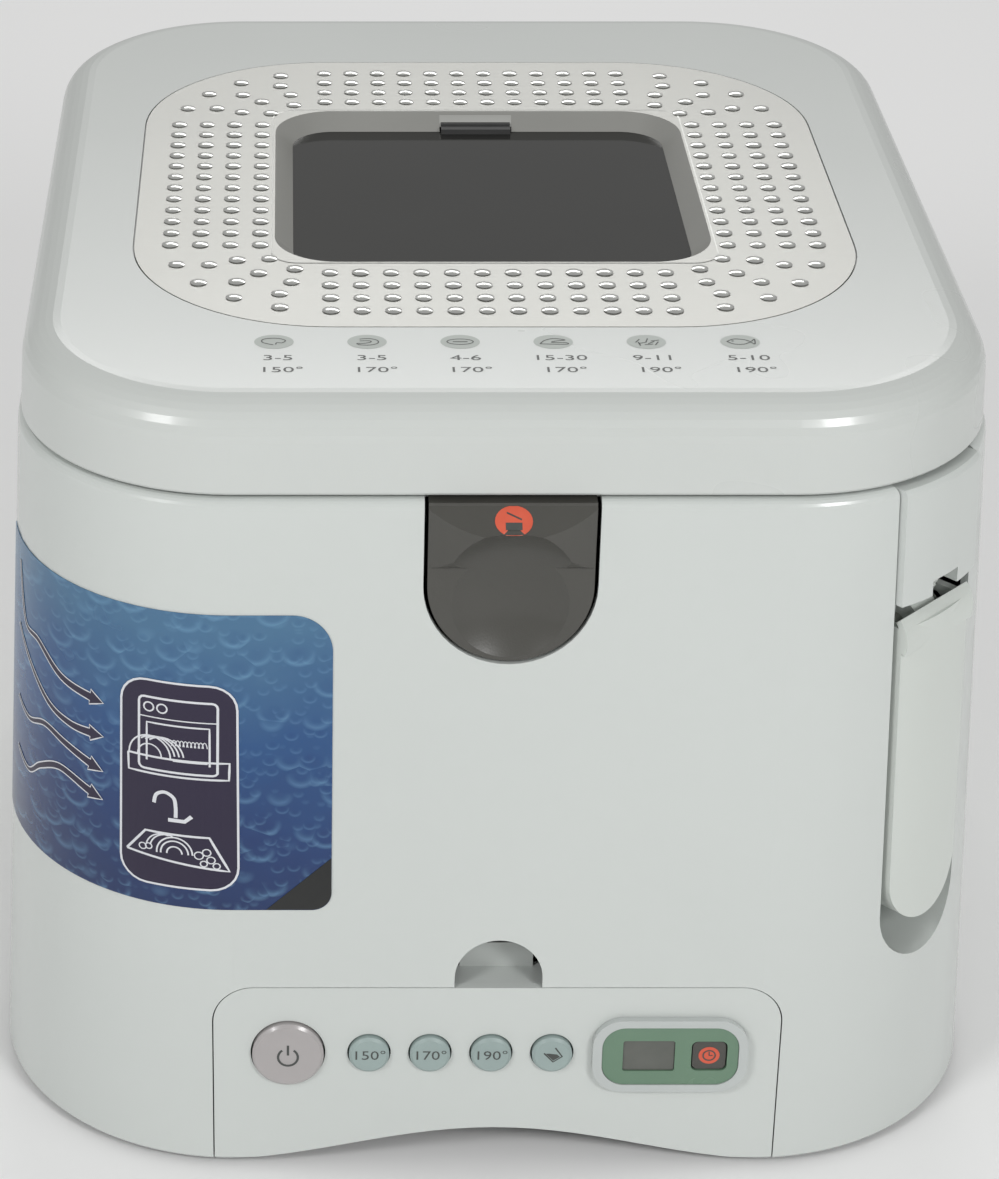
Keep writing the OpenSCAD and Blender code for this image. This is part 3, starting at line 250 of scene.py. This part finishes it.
def droplet_film():
    """Blue film with printed water drops: a gradient, cells for the drops and a pale rim on each."""
    material = finish("water drop film", (0.03, 0.12, 0.35), (0.10, 0.30, 0.60), (0.22, 0.30), coat=0.15,
                      grain=(500.0, 0.01), patch=30.0)
    tree = material.node_tree
    link = tree.links.new
    shader = tree.nodes["Principled BSDF"]
    place = node(tree, "ShaderNodeTexCoord")
    parts = node(tree, "ShaderNodeSeparateXYZ")
    link(place.outputs["Object"], parts.inputs["Vector"])
    height = node(tree, "ShaderNodeMapRange")
    height.inputs["From Min"].default_value = 0.096
    height.inputs["From Max"].default_value = 0.212
    link(parts.outputs["Z"], height.inputs["Value"])
    cloud = node(tree, "ShaderNodeTexNoise", Scale=26.0, Detail=4.0)
    link(place.outputs["Object"], cloud.inputs["Vector"])
    lift = node(tree, "ShaderNodeMath", operation="MULTIPLY_ADD")
    lift.inputs[1].default_value = 0.38
    link(cloud.outputs["Fac"], lift.inputs[0])
    link(height.outputs["Result"], lift.inputs[2])
    ramp = node(tree, "ShaderNodeValToRGB")
    stops = ramp.color_ramp.elements
    stops[0].position, stops[0].color = 0.12, (0.006, 0.020, 0.085, 1)
    stops[1].position, stops[1].color = 1.0, (0.055, 0.15, 0.27, 1)
    for position, colour in ((0.42, (0.007, 0.036, 0.14, 1)), (0.72, (0.014, 0.072, 0.21, 1))):
        stop = stops.new(position)
        stop.color = colour
    link(lift.outputs[0], ramp.inputs["Fac"])
    flat = node(tree, "ShaderNodeVectorMath", operation="MULTIPLY")
    flat.inputs[1].default_value = (1.0, 0.6, 1.15)
    link(place.outputs["Object"], flat.inputs[0])
    shade = ramp.outputs["Color"]
    for scale, rim_low, rim_high, strength in ((95.0, 0.30, 0.46, 0.42), (210.0, 0.26, 0.44, 0.28)):
        cells = node(tree, "ShaderNodeTexVoronoi", Scale=scale)
        link(flat.outputs["Vector"], cells.inputs["Vector"])
        rim = node(tree, "ShaderNodeValToRGB")
        marks = rim.color_ramp.elements
        marks[0].position, marks[0].color = rim_low, (0, 0, 0, 1)
        marks[1].position, marks[1].color = rim_high + 0.08, (0, 0, 0, 1)
        peak = marks.new(rim_high - 0.03)
        peak.color = (1, 1, 1, 1)
        link(cells.outputs["Distance"], rim.inputs["Fac"])
        # only the lower side of a drop catches the light
        offset = node(tree, "ShaderNodeVectorMath", operation="SUBTRACT")
        link(flat.outputs["Vector"], offset.inputs[0])
        link(cells.outputs["Position"], offset.inputs[1])
        side = node(tree, "ShaderNodeSeparateXYZ")
        link(offset.outputs["Vector"], side.inputs["Vector"])
        lit = node(tree, "ShaderNodeMapRange")
        lit.inputs["From Min"].default_value = 0.15 / scale
        lit.inputs["From Max"].default_value = -0.45 / scale
        link(side.outputs["Z"], lit.inputs["Value"])
        amount = node(tree, "ShaderNodeMath", operation="MULTIPLY")
        link(rim.outputs["Color"], amount.inputs[0])
        link(lit.outputs["Result"], amount.inputs[1])
        part = node(tree, "ShaderNodeMath", operation="MULTIPLY")
        part.inputs[1].default_value = strength
        link(amount.outputs[0], part.inputs[0])
        mix = node(tree, "ShaderNodeMix", data_type="RGBA")
        link(part.outputs[0], mix.inputs[0])
        link(shade, mix.inputs[6])
        mix.inputs[7].default_value = (0.16, 0.34, 0.52, 1)
        shade = mix.outputs[2]
        core = node(tree, "ShaderNodeMapRange")
        core.inputs["From Min"].default_value = 0.0
        core.inputs["From Max"].default_value = rim_low
        core.inputs["To Min"].default_value = 0.30
        core.inputs["To Max"].default_value = 0.0
        link(cells.outputs["Distance"], core.inputs["Value"])
        deep = node(tree, "ShaderNodeMix", data_type="RGBA", blend_type="MULTIPLY")
        link(core.outputs["Result"], deep.inputs[0])
        link(shade, deep.inputs[6])
        deep.inputs[7].default_value = (0.35, 0.55, 0.8, 1)
        shade = deep.outputs[2]
    link(shade, shader.inputs["Base Color"])
    return material


drop_film = droplet_film()

NODE_FINISH = {
    gloss_white: ["body_shell", "control_panel", "handle_block"],
    lid_white: ["lid_shell"],
    handle_white: ["basket_handle"],
    satin_alloy: ["lid_trim_plate"],
    window_tint: ["window_glass"],
    gasket_black: ["window_gasket", "window_clip"],
    steel_bright: ["frying_basket", "basket_riser", "handle_pin", "lift_gear_pin", "lift_pin", "release_pin",
                   "hinge_pins", "release_spring", "lid_spring"],
    steel_bracket: ["hinge_brackets", "hinge_screws", "base_screws", "lid_catch", "heat_shield", "lift_gear_arm"],
    liner_steel: ["lid_liner"],
    bowl_coat: ["oil_bowl"],
    heater_alloy: ["heater_plate", "heating_element"],
    dark_moulding: ["base_tray", "module_tray"],
    foot_rubber: ["rubber_feet"],
    seal_silicone: ["lid_seal"],
    filter_media: ["steam_filter"],
    filter_grey: ["filter_cover"],
    release_grey: ["lid_release"],
    mauve_key: ["power_button"],
    blue_key: ["temp_button_150", "temp_button_170", "temp_button_190", "melt_button"],
    ring_grey: ["display_bezel"],
    fascia_green: ["display_fascia"],
    lcd_glass: ["lcd_screen"],
    release_grey.copy(): ["timer_button"],
    board_green: ["control_board", "power_board"],
    transformer_tape: ["transformer"],
    socket_black: ["module_plug", "heater_socket", "probe_holder", "thermal_cutout"],
    cable_sleeve: ["wiring_loom", "cord_gland"],
    drop_film: ["side_film"],
}
for material, names in NODE_FINISH.items():
    for name in names:
        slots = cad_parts[name].material_slots
        for slot in slots:
            slot.material = material


# ---- placing flat print on the fryer's surfaces ----

def mesh_piece(name, verts, faces, material, body):
    data = bpy.data.meshes.new(name)
    data.from_pydata([tuple(v) for v in verts], [], faces)
    data.materials.append(material)
    data.update()
    piece = bpy.data.objects.new(name, data)
    bpy.context.scene.collection.objects.link(piece)
    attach(piece, body)
    return piece


def on_lid(x, y, lift=0.06):
    return Vector((x, y, LID_TOP + lift)) * MM


def on_wall(s, z, lift=0.06):
    """s runs along the front wall from its middle and on round the corner at the corner radius."""
    reach = wall_offset(z) + lift
    turn = max(abs(s) - HALF_X, 0.0) / CORNER_R
    side = -1.0 if s < 0 else 1.0
    x = s if turn == 0 else side * (HALF_X + reach * math.sin(turn))
    return Vector((x, -HALF_Y - reach * math.cos(turn), z)) * MM


def on_key(centre_x, out):
    """Flat face of a key or the display, out millimetres in front of the panel."""
    front = -(HALF_Y + wall_offset(KEY_ROW))

    def place(x, z, lift=0.06):
        d = out + lift
        return Vector((centre_x + x, front - d * math.cos(LEAN) + z * math.sin(LEAN),
                       KEY_ROW + z * math.cos(LEAN) + d * math.sin(LEAN))) * MM
    return place


def on_release(x, z, lift=0.10):
    """Found on the release moulding itself, looking straight back at it."""
    origin = Vector((x, -260.0, z)) * MM
    hit, point, normal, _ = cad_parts["lid_release"].ray_cast(origin, Vector((0, 1, 0)))
    return point + normal * lift * MM if hit else Vector((x, -179.0, z)) * MM


def stroke(points, width, closed=False):
    """One ribbon of even width along a polyline, as quads in the print's own plane."""
    count = len(points)
    left, right = [], []
    for i, (x, y) in enumerate(points):
        before = points[i - 1] if closed or i else points[0]
        after = points[(i + 1) % count] if closed or i < count - 1 else points[-1]
        dx, dy = after[0] - before[0], after[1] - before[1]
        size = math.hypot(dx, dy) or 1.0
        nx, ny = -dy / size * width / 2, dx / size * width / 2
        left.append((x + nx, y + ny))
        right.append((x - nx, y - ny))
    quads = [(left[i], left[(i + 1) % count], right[(i + 1) % count], right[i])
             for i in range(count if closed else count - 1)]
    return quads


def fill(outline):
    flat = [Vector((x, y, 0)) for x, y in outline]
    return [tuple(outline[i] for i in tri) for tri in tessellate_polygon([flat])]


def ellipse(cx, cy, rx, ry, a0=0.0, a1=360.0, steps=28):
    return [(cx + rx * math.cos(math.radians(a0 + (a1 - a0) * i / steps)),
             cy + ry * math.sin(math.radians(a0 + (a1 - a0) * i / steps))) for i in range(steps + 1)]


def rounded_box(cx, cy, half_w, half_h, r, steps=6):
    out = []
    for qx, qy, a in ((1, 1, 0), (-1, 1, 90), (-1, -1, 180), (1, -1, 270)):
        out += ellipse(cx + qx * (half_w - r), cy + qy * (half_h - r), r, r, a, a + 90, steps)
    return out


def print_piece(name, place, polygons, material, body, lift=0.06, shift=(0.0, 0.0)):
    verts, faces = [], []
    for polygon in polygons:
        first = len(verts)
        verts += [place(p[0] + shift[0], p[1] + shift[1], lift) for p in polygon]
        faces.append(tuple(range(first, first + len(polygon))))
    return mesh_piece(name, verts, faces, material, body)


def smooth_path(points, steps=6):
    """Catmull-Rom curve through a few given points."""
    out = []
    for i in range(len(points) - 1):
        p0, p1, p2, p3 = points[max(i - 1, 0)], points[i], points[i + 1], points[min(i + 2, len(points) - 1)]
        for k in range(steps):
            t = k / steps
            out.append(tuple(0.5 * (2 * p1[c] + (p2[c] - p0[c]) * t
                                    + (2 * p0[c] - 5 * p1[c] + 4 * p2[c] - p3[c]) * t * t
                                    + (3 * p1[c] - p0[c] - 3 * p2[c] + p3[c]) * t ** 3) for c in (0, 1)))
    return out + [points[-1]]


def numeral_polygons(text, size, stretch=1.3):
    """Outlines of figures as polygons, centred on the origin."""
    curve = bpy.data.curves.new("figures", "FONT")
    curve.body, curve.size = text, size
    curve.align_x, curve.align_y = "CENTER", "CENTER"
    curve.resolution_u = 3
    holder = bpy.data.objects.new("figures", curve)
    bpy.context.scene.collection.objects.link(holder)
    bpy.context.view_layer.update()
    mesh = bpy.data.meshes.new_from_object(holder.evaluated_get(bpy.context.evaluated_depsgraph_get()))
    out = [[(mesh.vertices[i].co.x * stretch, mesh.vertices[i].co.y) for i in face.vertices]
           for face in mesh.polygons]
    bpy.data.objects.remove(holder)
    bpy.data.meshes.remove(mesh)
    return out


# ---- pressed beads on the trim plate ----

def bead_tree():
    """Domes set on points, with their radius, height and number of facets as inputs."""
    tree = bpy.data.node_groups.new("trim plate beads", "GeometryNodeTree")
    face = tree.interface
    face.new_socket("Geometry", in_out="INPUT", socket_type="NodeSocketGeometry")
    for label, kind, value in (("Bead radius", "NodeSocketFloat", 0.0037), ("Bead height", "NodeSocketFloat", 0.0019),
                               ("Facets", "NodeSocketInt", 20), ("Seed", "NodeSocketInt", 7)):
        face.new_socket(label, in_out="INPUT", socket_type=kind).default_value = value
    face.new_socket("Geometry", in_out="OUTPUT", socket_type="NodeSocketGeometry")
    link = tree.links.new
    given, out = node(tree, "NodeGroupInput"), node(tree, "NodeGroupOutput")
    dome = node(tree, "GeometryNodeMeshUVSphere")
    dome.inputs["Rings"].default_value = 12
    dome.inputs["Radius"].default_value = 1.0
    link(given.outputs["Facets"], dome.inputs["Segments"])
    where = node(tree, "GeometryNodeInputPosition")
    parts = node(tree, "ShaderNodeSeparateXYZ")
    link(where.outputs["Position"], parts.inputs["Vector"])
    below = node(tree, "FunctionNodeCompare", operation="LESS_THAN")
    below.inputs["B"].default_value = 0.50
    link(parts.outputs["Z"], below.inputs["A"])
    half = node(tree, "GeometryNodeDeleteGeometry")
    link(dome.outputs["Mesh"], half.inputs["Geometry"])
    link(below.outputs["Result"], half.inputs["Selection"])
    size = node(tree, "ShaderNodeCombineXYZ")
    link(given.outputs["Bead radius"], size.inputs["X"])
    link(given.outputs["Bead radius"], size.inputs["Y"])
    link(given.outputs["Bead height"], size.inputs["Z"])
    even = node(tree, "FunctionNodeRandomValue", data_type="FLOAT")
    even.inputs[2].default_value, even.inputs[3].default_value = 0.97, 1.03
    link(given.outputs["Seed"], even.inputs["Seed"])
    scale = node(tree, "ShaderNodeVectorMath", operation="SCALE")
    link(size.outputs["Vector"], scale.inputs[0])
    link(even.outputs[1], scale.inputs["Scale"])
    smooth = node(tree, "GeometryNodeSetShadeSmooth")
    link(half.outputs["Geometry"], smooth.inputs["Geometry"])
    set_on = node(tree, "GeometryNodeInstanceOnPoints")
    link(given.outputs["Geometry"], set_on.inputs["Points"])
    link(smooth.outputs["Geometry"], set_on.inputs["Instance"])
    link(scale.outputs["Vector"], set_on.inputs["Scale"])
    real = node(tree, "GeometryNodeRealizeInstances")
    link(set_on.outputs["Instances"], real.inputs["Geometry"])
    # the beads get the paler aluminium that paints a highlight on them
    coat = node(tree, "GeometryNodeSetMaterial")
    coat.inputs["Material"].default_value = bead_alloy_painted_highlight
    link(real.outputs["Geometry"], coat.inputs["Geometry"])
    link(coat.outputs["Geometry"], out.inputs["Geometry"])
    return tree


def grown(name, points, tree, body, **inputs):
    """Runs a geometry tree on a set of points and keeps the result as a plain mesh on one body."""
    data = bpy.data.meshes.new(name + "_points")
    data.from_pydata(points, [], [])
    source = bpy.data.objects.new(name + "_points", data)
    bpy.context.scene.collection.objects.link(source)
    modifier = source.modifiers.new("grow", "NODES")
    modifier.node_group = tree
    sockets = {item.name: item.identifier for item in tree.interface.items_tree if item.in_out == "INPUT"}
    for label, value in inputs.items():
        modifier[sockets[label.replace("_", " ")]] = value
    bpy.context.view_layer.update()
    mesh = bpy.data.meshes.new_from_object(source.evaluated_get(bpy.context.evaluated_depsgraph_get()))
    mesh.name = name
    bpy.data.objects.remove(source)
    piece = bpy.data.objects.new(name, mesh)
    bpy.context.scene.collection.objects.link(piece)
    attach(piece, body)
    return piece


BEAD_PITCH = 9.5
BEADS_ALONG = 12
BEAD_SINK = 1.05              # sphere centre below the plate, so only a cap shows
bead_points = []
for steps_out, in_corner in ((10.8, 4), (9.8, 3), (8.8, 3), (7.8, 2)):
    reach = steps_out * BEAD_PITCH
    half = (BEADS_ALONG - 1) / 2 * BEAD_PITCH
    turn_r = reach - half
    for quarter in range(4):
        c, s = (1, 0, -1, 0)[quarter], (0, 1, 0, -1)[quarter]
        for i in range(BEADS_ALONG):
            along = (i - (BEADS_ALONG - 1) / 2) * BEAD_PITCH
            bead_points.append((c * along - s * -reach, s * along + c * -reach))
        for k in range(in_corner):
            a = math.radians(-90 + 90 * (k + 1) / (in_corner + 1))
            x, y = half + turn_r * math.cos(a), -half + turn_r * math.sin(a)
            bead_points.append((c * x - s * y, s * x + c * y))
grown("trim_beads", [(x * MM, y * MM, (LID_TOP - BEAD_SINK) * MM) for x, y in bead_points], bead_tree(), "lid",
      Facets=20)

# rolled edge round the window opening, its aluminium painted paler than the plate as a painted highlight
OPENING_X, OPENING_Y = 70.6, 66.6
BEVEL_REACH, BEVEL_DROP = 5.4, 4.9
bevel_rings = [(rounded_box(0, 0, OPENING_X - t * BEVEL_REACH, OPENING_Y - t * BEVEL_REACH, 8.5 - t * 5.6, 8),
                LID_TOP + 0.12 - BEVEL_DROP * (t ** 1.6)) for t in (0.0, 0.12, 0.3, 0.5, 0.72, 0.94)]
verts, faces = [], []
for ring, z in bevel_rings:
    verts += [Vector((x, y, z)) * MM for x, y in ring]
n = len(bevel_rings[0][0])
for level in range(len(bevel_rings) - 1):
    for i in range(n):
        a, b = level * n + i, level * n + (i + 1) % n
        faces.append((a, b, b + n, a + n))
bevel = mesh_piece("window_bevel", verts, faces, bevel_alloy_painted_highlight, "lid")
for polygon in bevel.data.polygons:
    polygon.use_smooth = True


# ---- food guide printed on the lid ----

PICTURE_LINE = 0.42


def traced(*points):
    return [stroke(smooth_path(points), PICTURE_LINE)]


def drumstick():
    return traced((-0.2, -2.2), (-3.3, -0.6), (-3.4, 1.4), (-1.2, 2.4), (1.6, 2.2), (3.4, 0.8), (2.4, -0.8),
                  (0.9, -0.7), (0.5, -2.0))


def prawn():
    return traced((-2.2, 1.8), (0.6, 2.2), (3.0, 1.0), (3.2, -1.0), (1.0, -2.3), (-2.0, -2.2), (-3.0, -1.3),
                  (-0.8, -1.1), (1.0, -0.4), (0.8, 0.6), (-2.2, 0.5))


def croquette():
    return [stroke(ellipse(0, 0, 3.9, 1.9)[:-1], PICTURE_LINE, True), stroke([(-2.2, 0), (2.2, 0)], 0.6)]


def crust_bread():
    return traced((-4.0, -1.5), (-2.6, 0.8), (0.2, 2.2), (3.6, 1.2), (0.6, 0.4), (-0.4, -0.5), (3.8, -0.7),
                  (3.6, -1.8), (-4.0, -1.5))


def chips():
    out = []
    for x, y, angle in ((-2.6, 0.6, 60), (-1.2, -0.8, 20), (0.2, 1.0, 75), (1.4, -0.6, 40), (2.6, 0.8, 15),
                        (-2.2, -1.5, 100), (0.6, -1.9, 10), (3.0, -1.2, 65)):
        c, s = math.cos(math.radians(angle)), math.sin(math.radians(angle))
        out.append(stroke([(x - 1.3 * c, y - 1.3 * s), (x + 1.3 * c, y + 1.3 * s)], PICTURE_LINE))
    return out


def fish():
    body = traced((-3.9, 0.2), (-1.6, 1.9), (1.4, 1.4), (3.2, 0.2), (4.4, 1.7), (4.2, -1.6), (3.0, -0.4),
                  (1.0, -1.7), (-2.0, -1.6), (-3.9, 0.2))
    return body + [stroke(ellipse(-2.2, 0.5, 0.25, 0.25, steps=8)[:-1], 0.25, True)]


FOOD = ((-69.5, drumstick, "3-5", "150°"), (-41.8, prawn, "3-5", "170°"), (-14.1, croquette, "4-6", "170°"),
        (13.6, crust_bread, "15-30", "170°"), (41.3, chips, "9-11", "190°"), (69.2, fish, "5-10", "190°"))
DISC_Y, MINUTES_Y, DEGREES_Y = -124.9, -136.1, -144.3
GUIDE_SIZE, GUIDE_STRETCH = 4.9, 1.45
for number, (x, picture, minutes, degrees) in enumerate(FOOD, 1):
    print_piece(f"food_disc_{number}", on_lid, fill(ellipse(0, 0, 5.9, 4.9)[:-1]), disc_grey, "lid", 0.05,
                shift=(x, DISC_Y))
    print_piece(f"food_picture_{number}", on_lid, sum(picture(), []), print_grey, "lid", 0.10, shift=(x, DISC_Y))
    print_piece(f"food_minutes_{number}", on_lid, numeral_polygons(minutes, GUIDE_SIZE, GUIDE_STRETCH), print_grey,
                "lid", 0.06, shift=(x + 1.2, MINUTES_Y))
    print_piece(f"food_degrees_{number}", on_lid, numeral_polygons(degrees, GUIDE_SIZE, GUIDE_STRETCH), print_grey,
                "lid", 0.06, shift=(x + 2.2, DEGREES_Y))

# ---- marks on the keys ----
KEY_FACE = 1.9                # how far the keys stand out of the panel
power_face = on_key(-65.3, KEY_FACE)
print_piece("power_mark", power_face, stroke(ellipse(0, -0.5, 3.1, 3.1, -235, 55, 24), 0.75)
            + stroke([(0, 0.2), (0, 3.9)], 0.75), print_grey, "power_key")
for x, figures, body in ((-39.9, "150°", "key_150"), (-20.8, "170°", "key_170"), (-1.7, "190°", "key_190")):
    print_piece("figures_" + body, on_key(x, KEY_FACE), numeral_polygons(figures, 4.6, 1.25), print_grey, body)
melt_face = on_key(17.4, KEY_FACE)
print_piece("melt_mark", melt_face, stroke([(-2.6, 1.0), (0.3, -2.2), (3.1, -0.2), (0.9, 3.0)], 0.5)
            + fill([(-2.0, 0.8), (0.3, -1.7), (2.4, -0.3), (1.5, 0.6), (-1.0, 0.9)]), print_grey, "melt_key")


# ---- lid release mark ----
DISC_Z = 229.4


def fan(centre, outline):
    return [(centre, outline[i], outline[(i + 1) % len(outline)]) for i in range(len(outline))]


print_piece("release_disc", on_release, fan((0, DISC_Z), ellipse(0, DISC_Z, 5.5, 3.1)[:-1]), red_print, "release",
            0.12)
print_piece("release_picture", on_release, [((-2.4, 227.6), (2.4, 227.6), (2.4, 229.1), (-2.4, 229.1))]
            + stroke([(-2.0, 231.1), (2.3, 229.7)], 0.35), print_grey, "release", 0.2)

# ---- timer key mark ----
timer_face = on_key(66.5, 1.5)
print_piece("timer_mark", timer_face, fill(ellipse(0, 0, 3.3, 3.1)[:-1]), red_print, "timer_key")
print_piece("timer_clock", timer_face, stroke(ellipse(0, 0, 1.9, 1.8)[:-1], 0.45, True)
            + stroke([(0, 1.3), (0, 0), (1.1, 0)], 0.4), print_grey, "timer_key", 0.14)


# ---- film print on the left corner ----
def wall_grid(outline_at, s0, s1, z0, z1, columns, rows):
    """Panel bent round the corner: a grid whose ends follow a rounded outline."""
    out = []
    for r in range(rows):
        za, zb = z0 + (z1 - z0) * r / rows, z0 + (z1 - z0) * (r + 1) / rows
        for c in range(columns):
            ia, ib = outline_at(za), outline_at(zb)
            corners = ((ia, za, c), (ia, za, c + 1), (ib, zb, c + 1), (ib, zb, c))
            out.append([(s0 + i + (s1 - s0 - 2 * i) * k / columns, z) for i, z, k in corners])
    return out


PANEL = (-114.9, -80.4, 103.0, 173.4)


def corner_inset(z, r=8.0):
    edge = min(z - PANEL[2], PANEL[3] - z)
    return 0.0 if edge >= r else r - math.sqrt(max(r * r - (r - edge) ** 2, 0.0))


print_piece("film_panel", on_wall, wall_grid(corner_inset, *PANEL, 14, 44), navy_print, "housing", 0.42)
mid_s, mid_z = (PANEL[0] + PANEL[1]) / 2, (PANEL[2] + PANEL[3]) / 2
edge_line = rounded_box(mid_s, mid_z, (PANEL[1] - PANEL[0]) / 2, (PANEL[3] - PANEL[2]) / 2, 8.0)
dense = []
for i, p in enumerate(edge_line):
    q = edge_line[(i + 1) % len(edge_line)]
    steps = max(int(math.hypot(q[0] - p[0], q[1] - p[1]) / 3.0), 1)
    dense += [(p[0] + (q[0] - p[0]) * k / steps, p[1] + (q[1] - p[1]) * k / steps) for k in range(steps)]
lines = stroke(dense, 0.7, True)


def wall_line(points, width=0.75, closed=False):
    """A pictogram line, cut into short steps so it follows the bend of the wall."""
    out, ends = [], points + ([points[0]] if closed else [])
    for p, q in zip(ends, ends[1:]):
        steps = max(int(math.hypot(q[0] - p[0], q[1] - p[1]) / 2.5), 1)
        out += [(p[0] + (q[0] - p[0]) * k / steps, p[1] + (q[1] - p[1]) * k / steps) for k in range(steps)]
    out.append(ends[-1])
    return stroke(out[:-1], width, True) if closed else stroke(out, width)


# a machine with its door let down and plates in its rack
lines += wall_line(rounded_box(-97.6, 155.3, 11.6, 12.3, 1.6, 3)[:-1], 0.75, True)
lines += wall_line([(-109.0, 160.9), (-86.2, 160.9)], 0.4)
lines += wall_line([(-106.8, 146.0), (-106.8, 159.0), (-88.4, 159.0), (-88.4, 146.0)], 0.6)
for cx in (-106.2, -102.2):
    lines += stroke(ellipse(cx, 164.3, 1.5, 1.5, steps=14)[:-1], 0.5, True)
for k, r in ((0, 6.3), (1.3, 6.3), (2.6, 6.3), (3.9, 6.3)):
    lines += stroke(ellipse(-106.0 + k, 147.6, r, r + 0.6, 8 if k else 0, 128 if k else 180, 16), 0.5)
lines += stroke(ellipse(-106.0, 147.6, 3.6, 4.0, 0, 180, 14), 0.45)
for k in range(9):
    lines += stroke(ellipse(-98.6 + k * 1.1, 151.2, 0.8, 3.0, 20, 160, 6), 0.3)
lines += wall_line([(-99.0, 147.0), (-89.0, 147.0)], 0.45)
lines += wall_line([(-112.6, 147.4), (-112.4, 141.6), (-83.0, 141.6), (-82.8, 147.4), (-112.6, 147.4)], 0.7)
# a tap over a basin with plates
lines += wall_line(smooth_path([(-104.6, 131.6), (-103.9, 134.6), (-101.4, 135.8), (-98.8, 134.2), (-98.2, 131.0),
                                (-98.2, 127.4)]), 1.1)
lines += wall_line([(-100.4, 126.4), (-95.6, 126.4), (-93.6, 128.4)], 1.3)
lines += wall_line([(-112.9, 113.6), (-107.2, 121.4), (-88.6, 121.4), (-83.0, 109.8), (-112.9, 113.6)], 0.75)
for r in (5.2, 4.0, 2.2):
    lines += stroke(ellipse(-98.6, 114.8, r, r * 1.08, 0, 185, 16), 0.5)
for k in (1.2, 2.4):
    lines += stroke(ellipse(-99.6 - k, 115.6, 5.0, 5.4, 70, 170, 10), 0.45)
for cx, cz, r in ((-108.0, 115.6, 1.1), (-106.2, 116.0, 1.0), (-91.6, 115.0, 1.3), (-89.4, 116.2, 1.2),
                  (-88.2, 113.6, 1.2), (-90.2, 112.2, 1.0), (-86.6, 111.6, 1.0)):
    lines += stroke(ellipse(cx, cz, r, r, steps=10)[:-1], 0.4, True)
print_piece("film_pictures", on_wall, lines, pale_print, "housing", 0.52)


def flow_arrow(points, head):
    """A long arrow drawn as two outlines that widen into an open head."""
    path = smooth_path(points, 8)
    last = len(path) - 1
    upper, lower = [], []
    for i, (s, z) in enumerate(path):
        a, b = path[max(i - 1, 0)], path[min(i + 1, last)]
        dx, dz = b[0] - a[0], b[1] - a[1]
        size = math.hypot(dx, dz) or 1
        w = 0.5 + 0.9 * i / last
        upper.append((s - dz / size * w, z + dx / size * w))
        lower.append((s + dz / size * w, z - dx / size * w))
    (ax, az), (bx, bz) = path[-2], path[-1]
    size = math.hypot(bx - ax, bz - az)
    ux, uz = (bx - ax) / size, (bz - az) / size
    tip = (bx + ux * head, bz + uz * head)
    left, right = (bx - uz * 2.7, bz + ux * 2.7), (bx + uz * 2.7, bz - ux * 2.7)
    rim = wall_line(upper + [left, tip, right] + lower[::-1], 0.42)
    inner = [(upper[i], upper[i + 1], lower[i + 1], lower[i]) for i in range(last)] + [(left, tip, right)]
    return rim, inner


rims, inners = [], []
for route in (((-166, 190), (-160, 172), (-150, 170), (-138, 163.5), (-126, 161.6)),
              ((-166, 168), (-156, 160), (-144, 151.5), (-134, 149), (-126, 149.2)),
              ((-166, 142), (-156, 139.5), (-146, 143), (-136, 141.2), (-126, 138.6)),
              ((-166, 124), (-156, 121), (-148, 127), (-138, 131.6), (-126, 128.8))):
    rim, inner = flow_arrow(route, 5.0)
    rims += rim
    inners += inner
print_piece("film_arrow_fill", on_wall, inners, navy_print, "housing", 0.40)
print_piece("film_arrow_lines", on_wall, rims, pale_print, "housing", 0.46)
corner_patch = [(-72.0, 96.2)] + ellipse(-58.0, 102.2, 6, 6, -90, 0, 6) + [(-52.1, 114.5)]
print_piece("film_corner", on_wall, fill(corner_patch), black_print, "housing", 0.42)

# ---- floor ----
floor_data = bpy.data.meshes.new("studio_floor")
floor_data.from_pydata([(-6, -6, 0), (6, -6, 0), (6, 6, 0), (-6, 6, 0)], [], [(0, 1, 2, 3)])
floor_data.materials.append(finish("studio floor", (0.90, 0.90, 0.90), (0.93, 0.93, 0.93), (0.7, 0.8),
                                   grain=(60.0, 0.02), patch=1.5))
floor = bpy.data.objects.new("studio_floor", floor_data)
bpy.context.scene.collection.objects.link(floor)

bpy.context.view_layer.update()
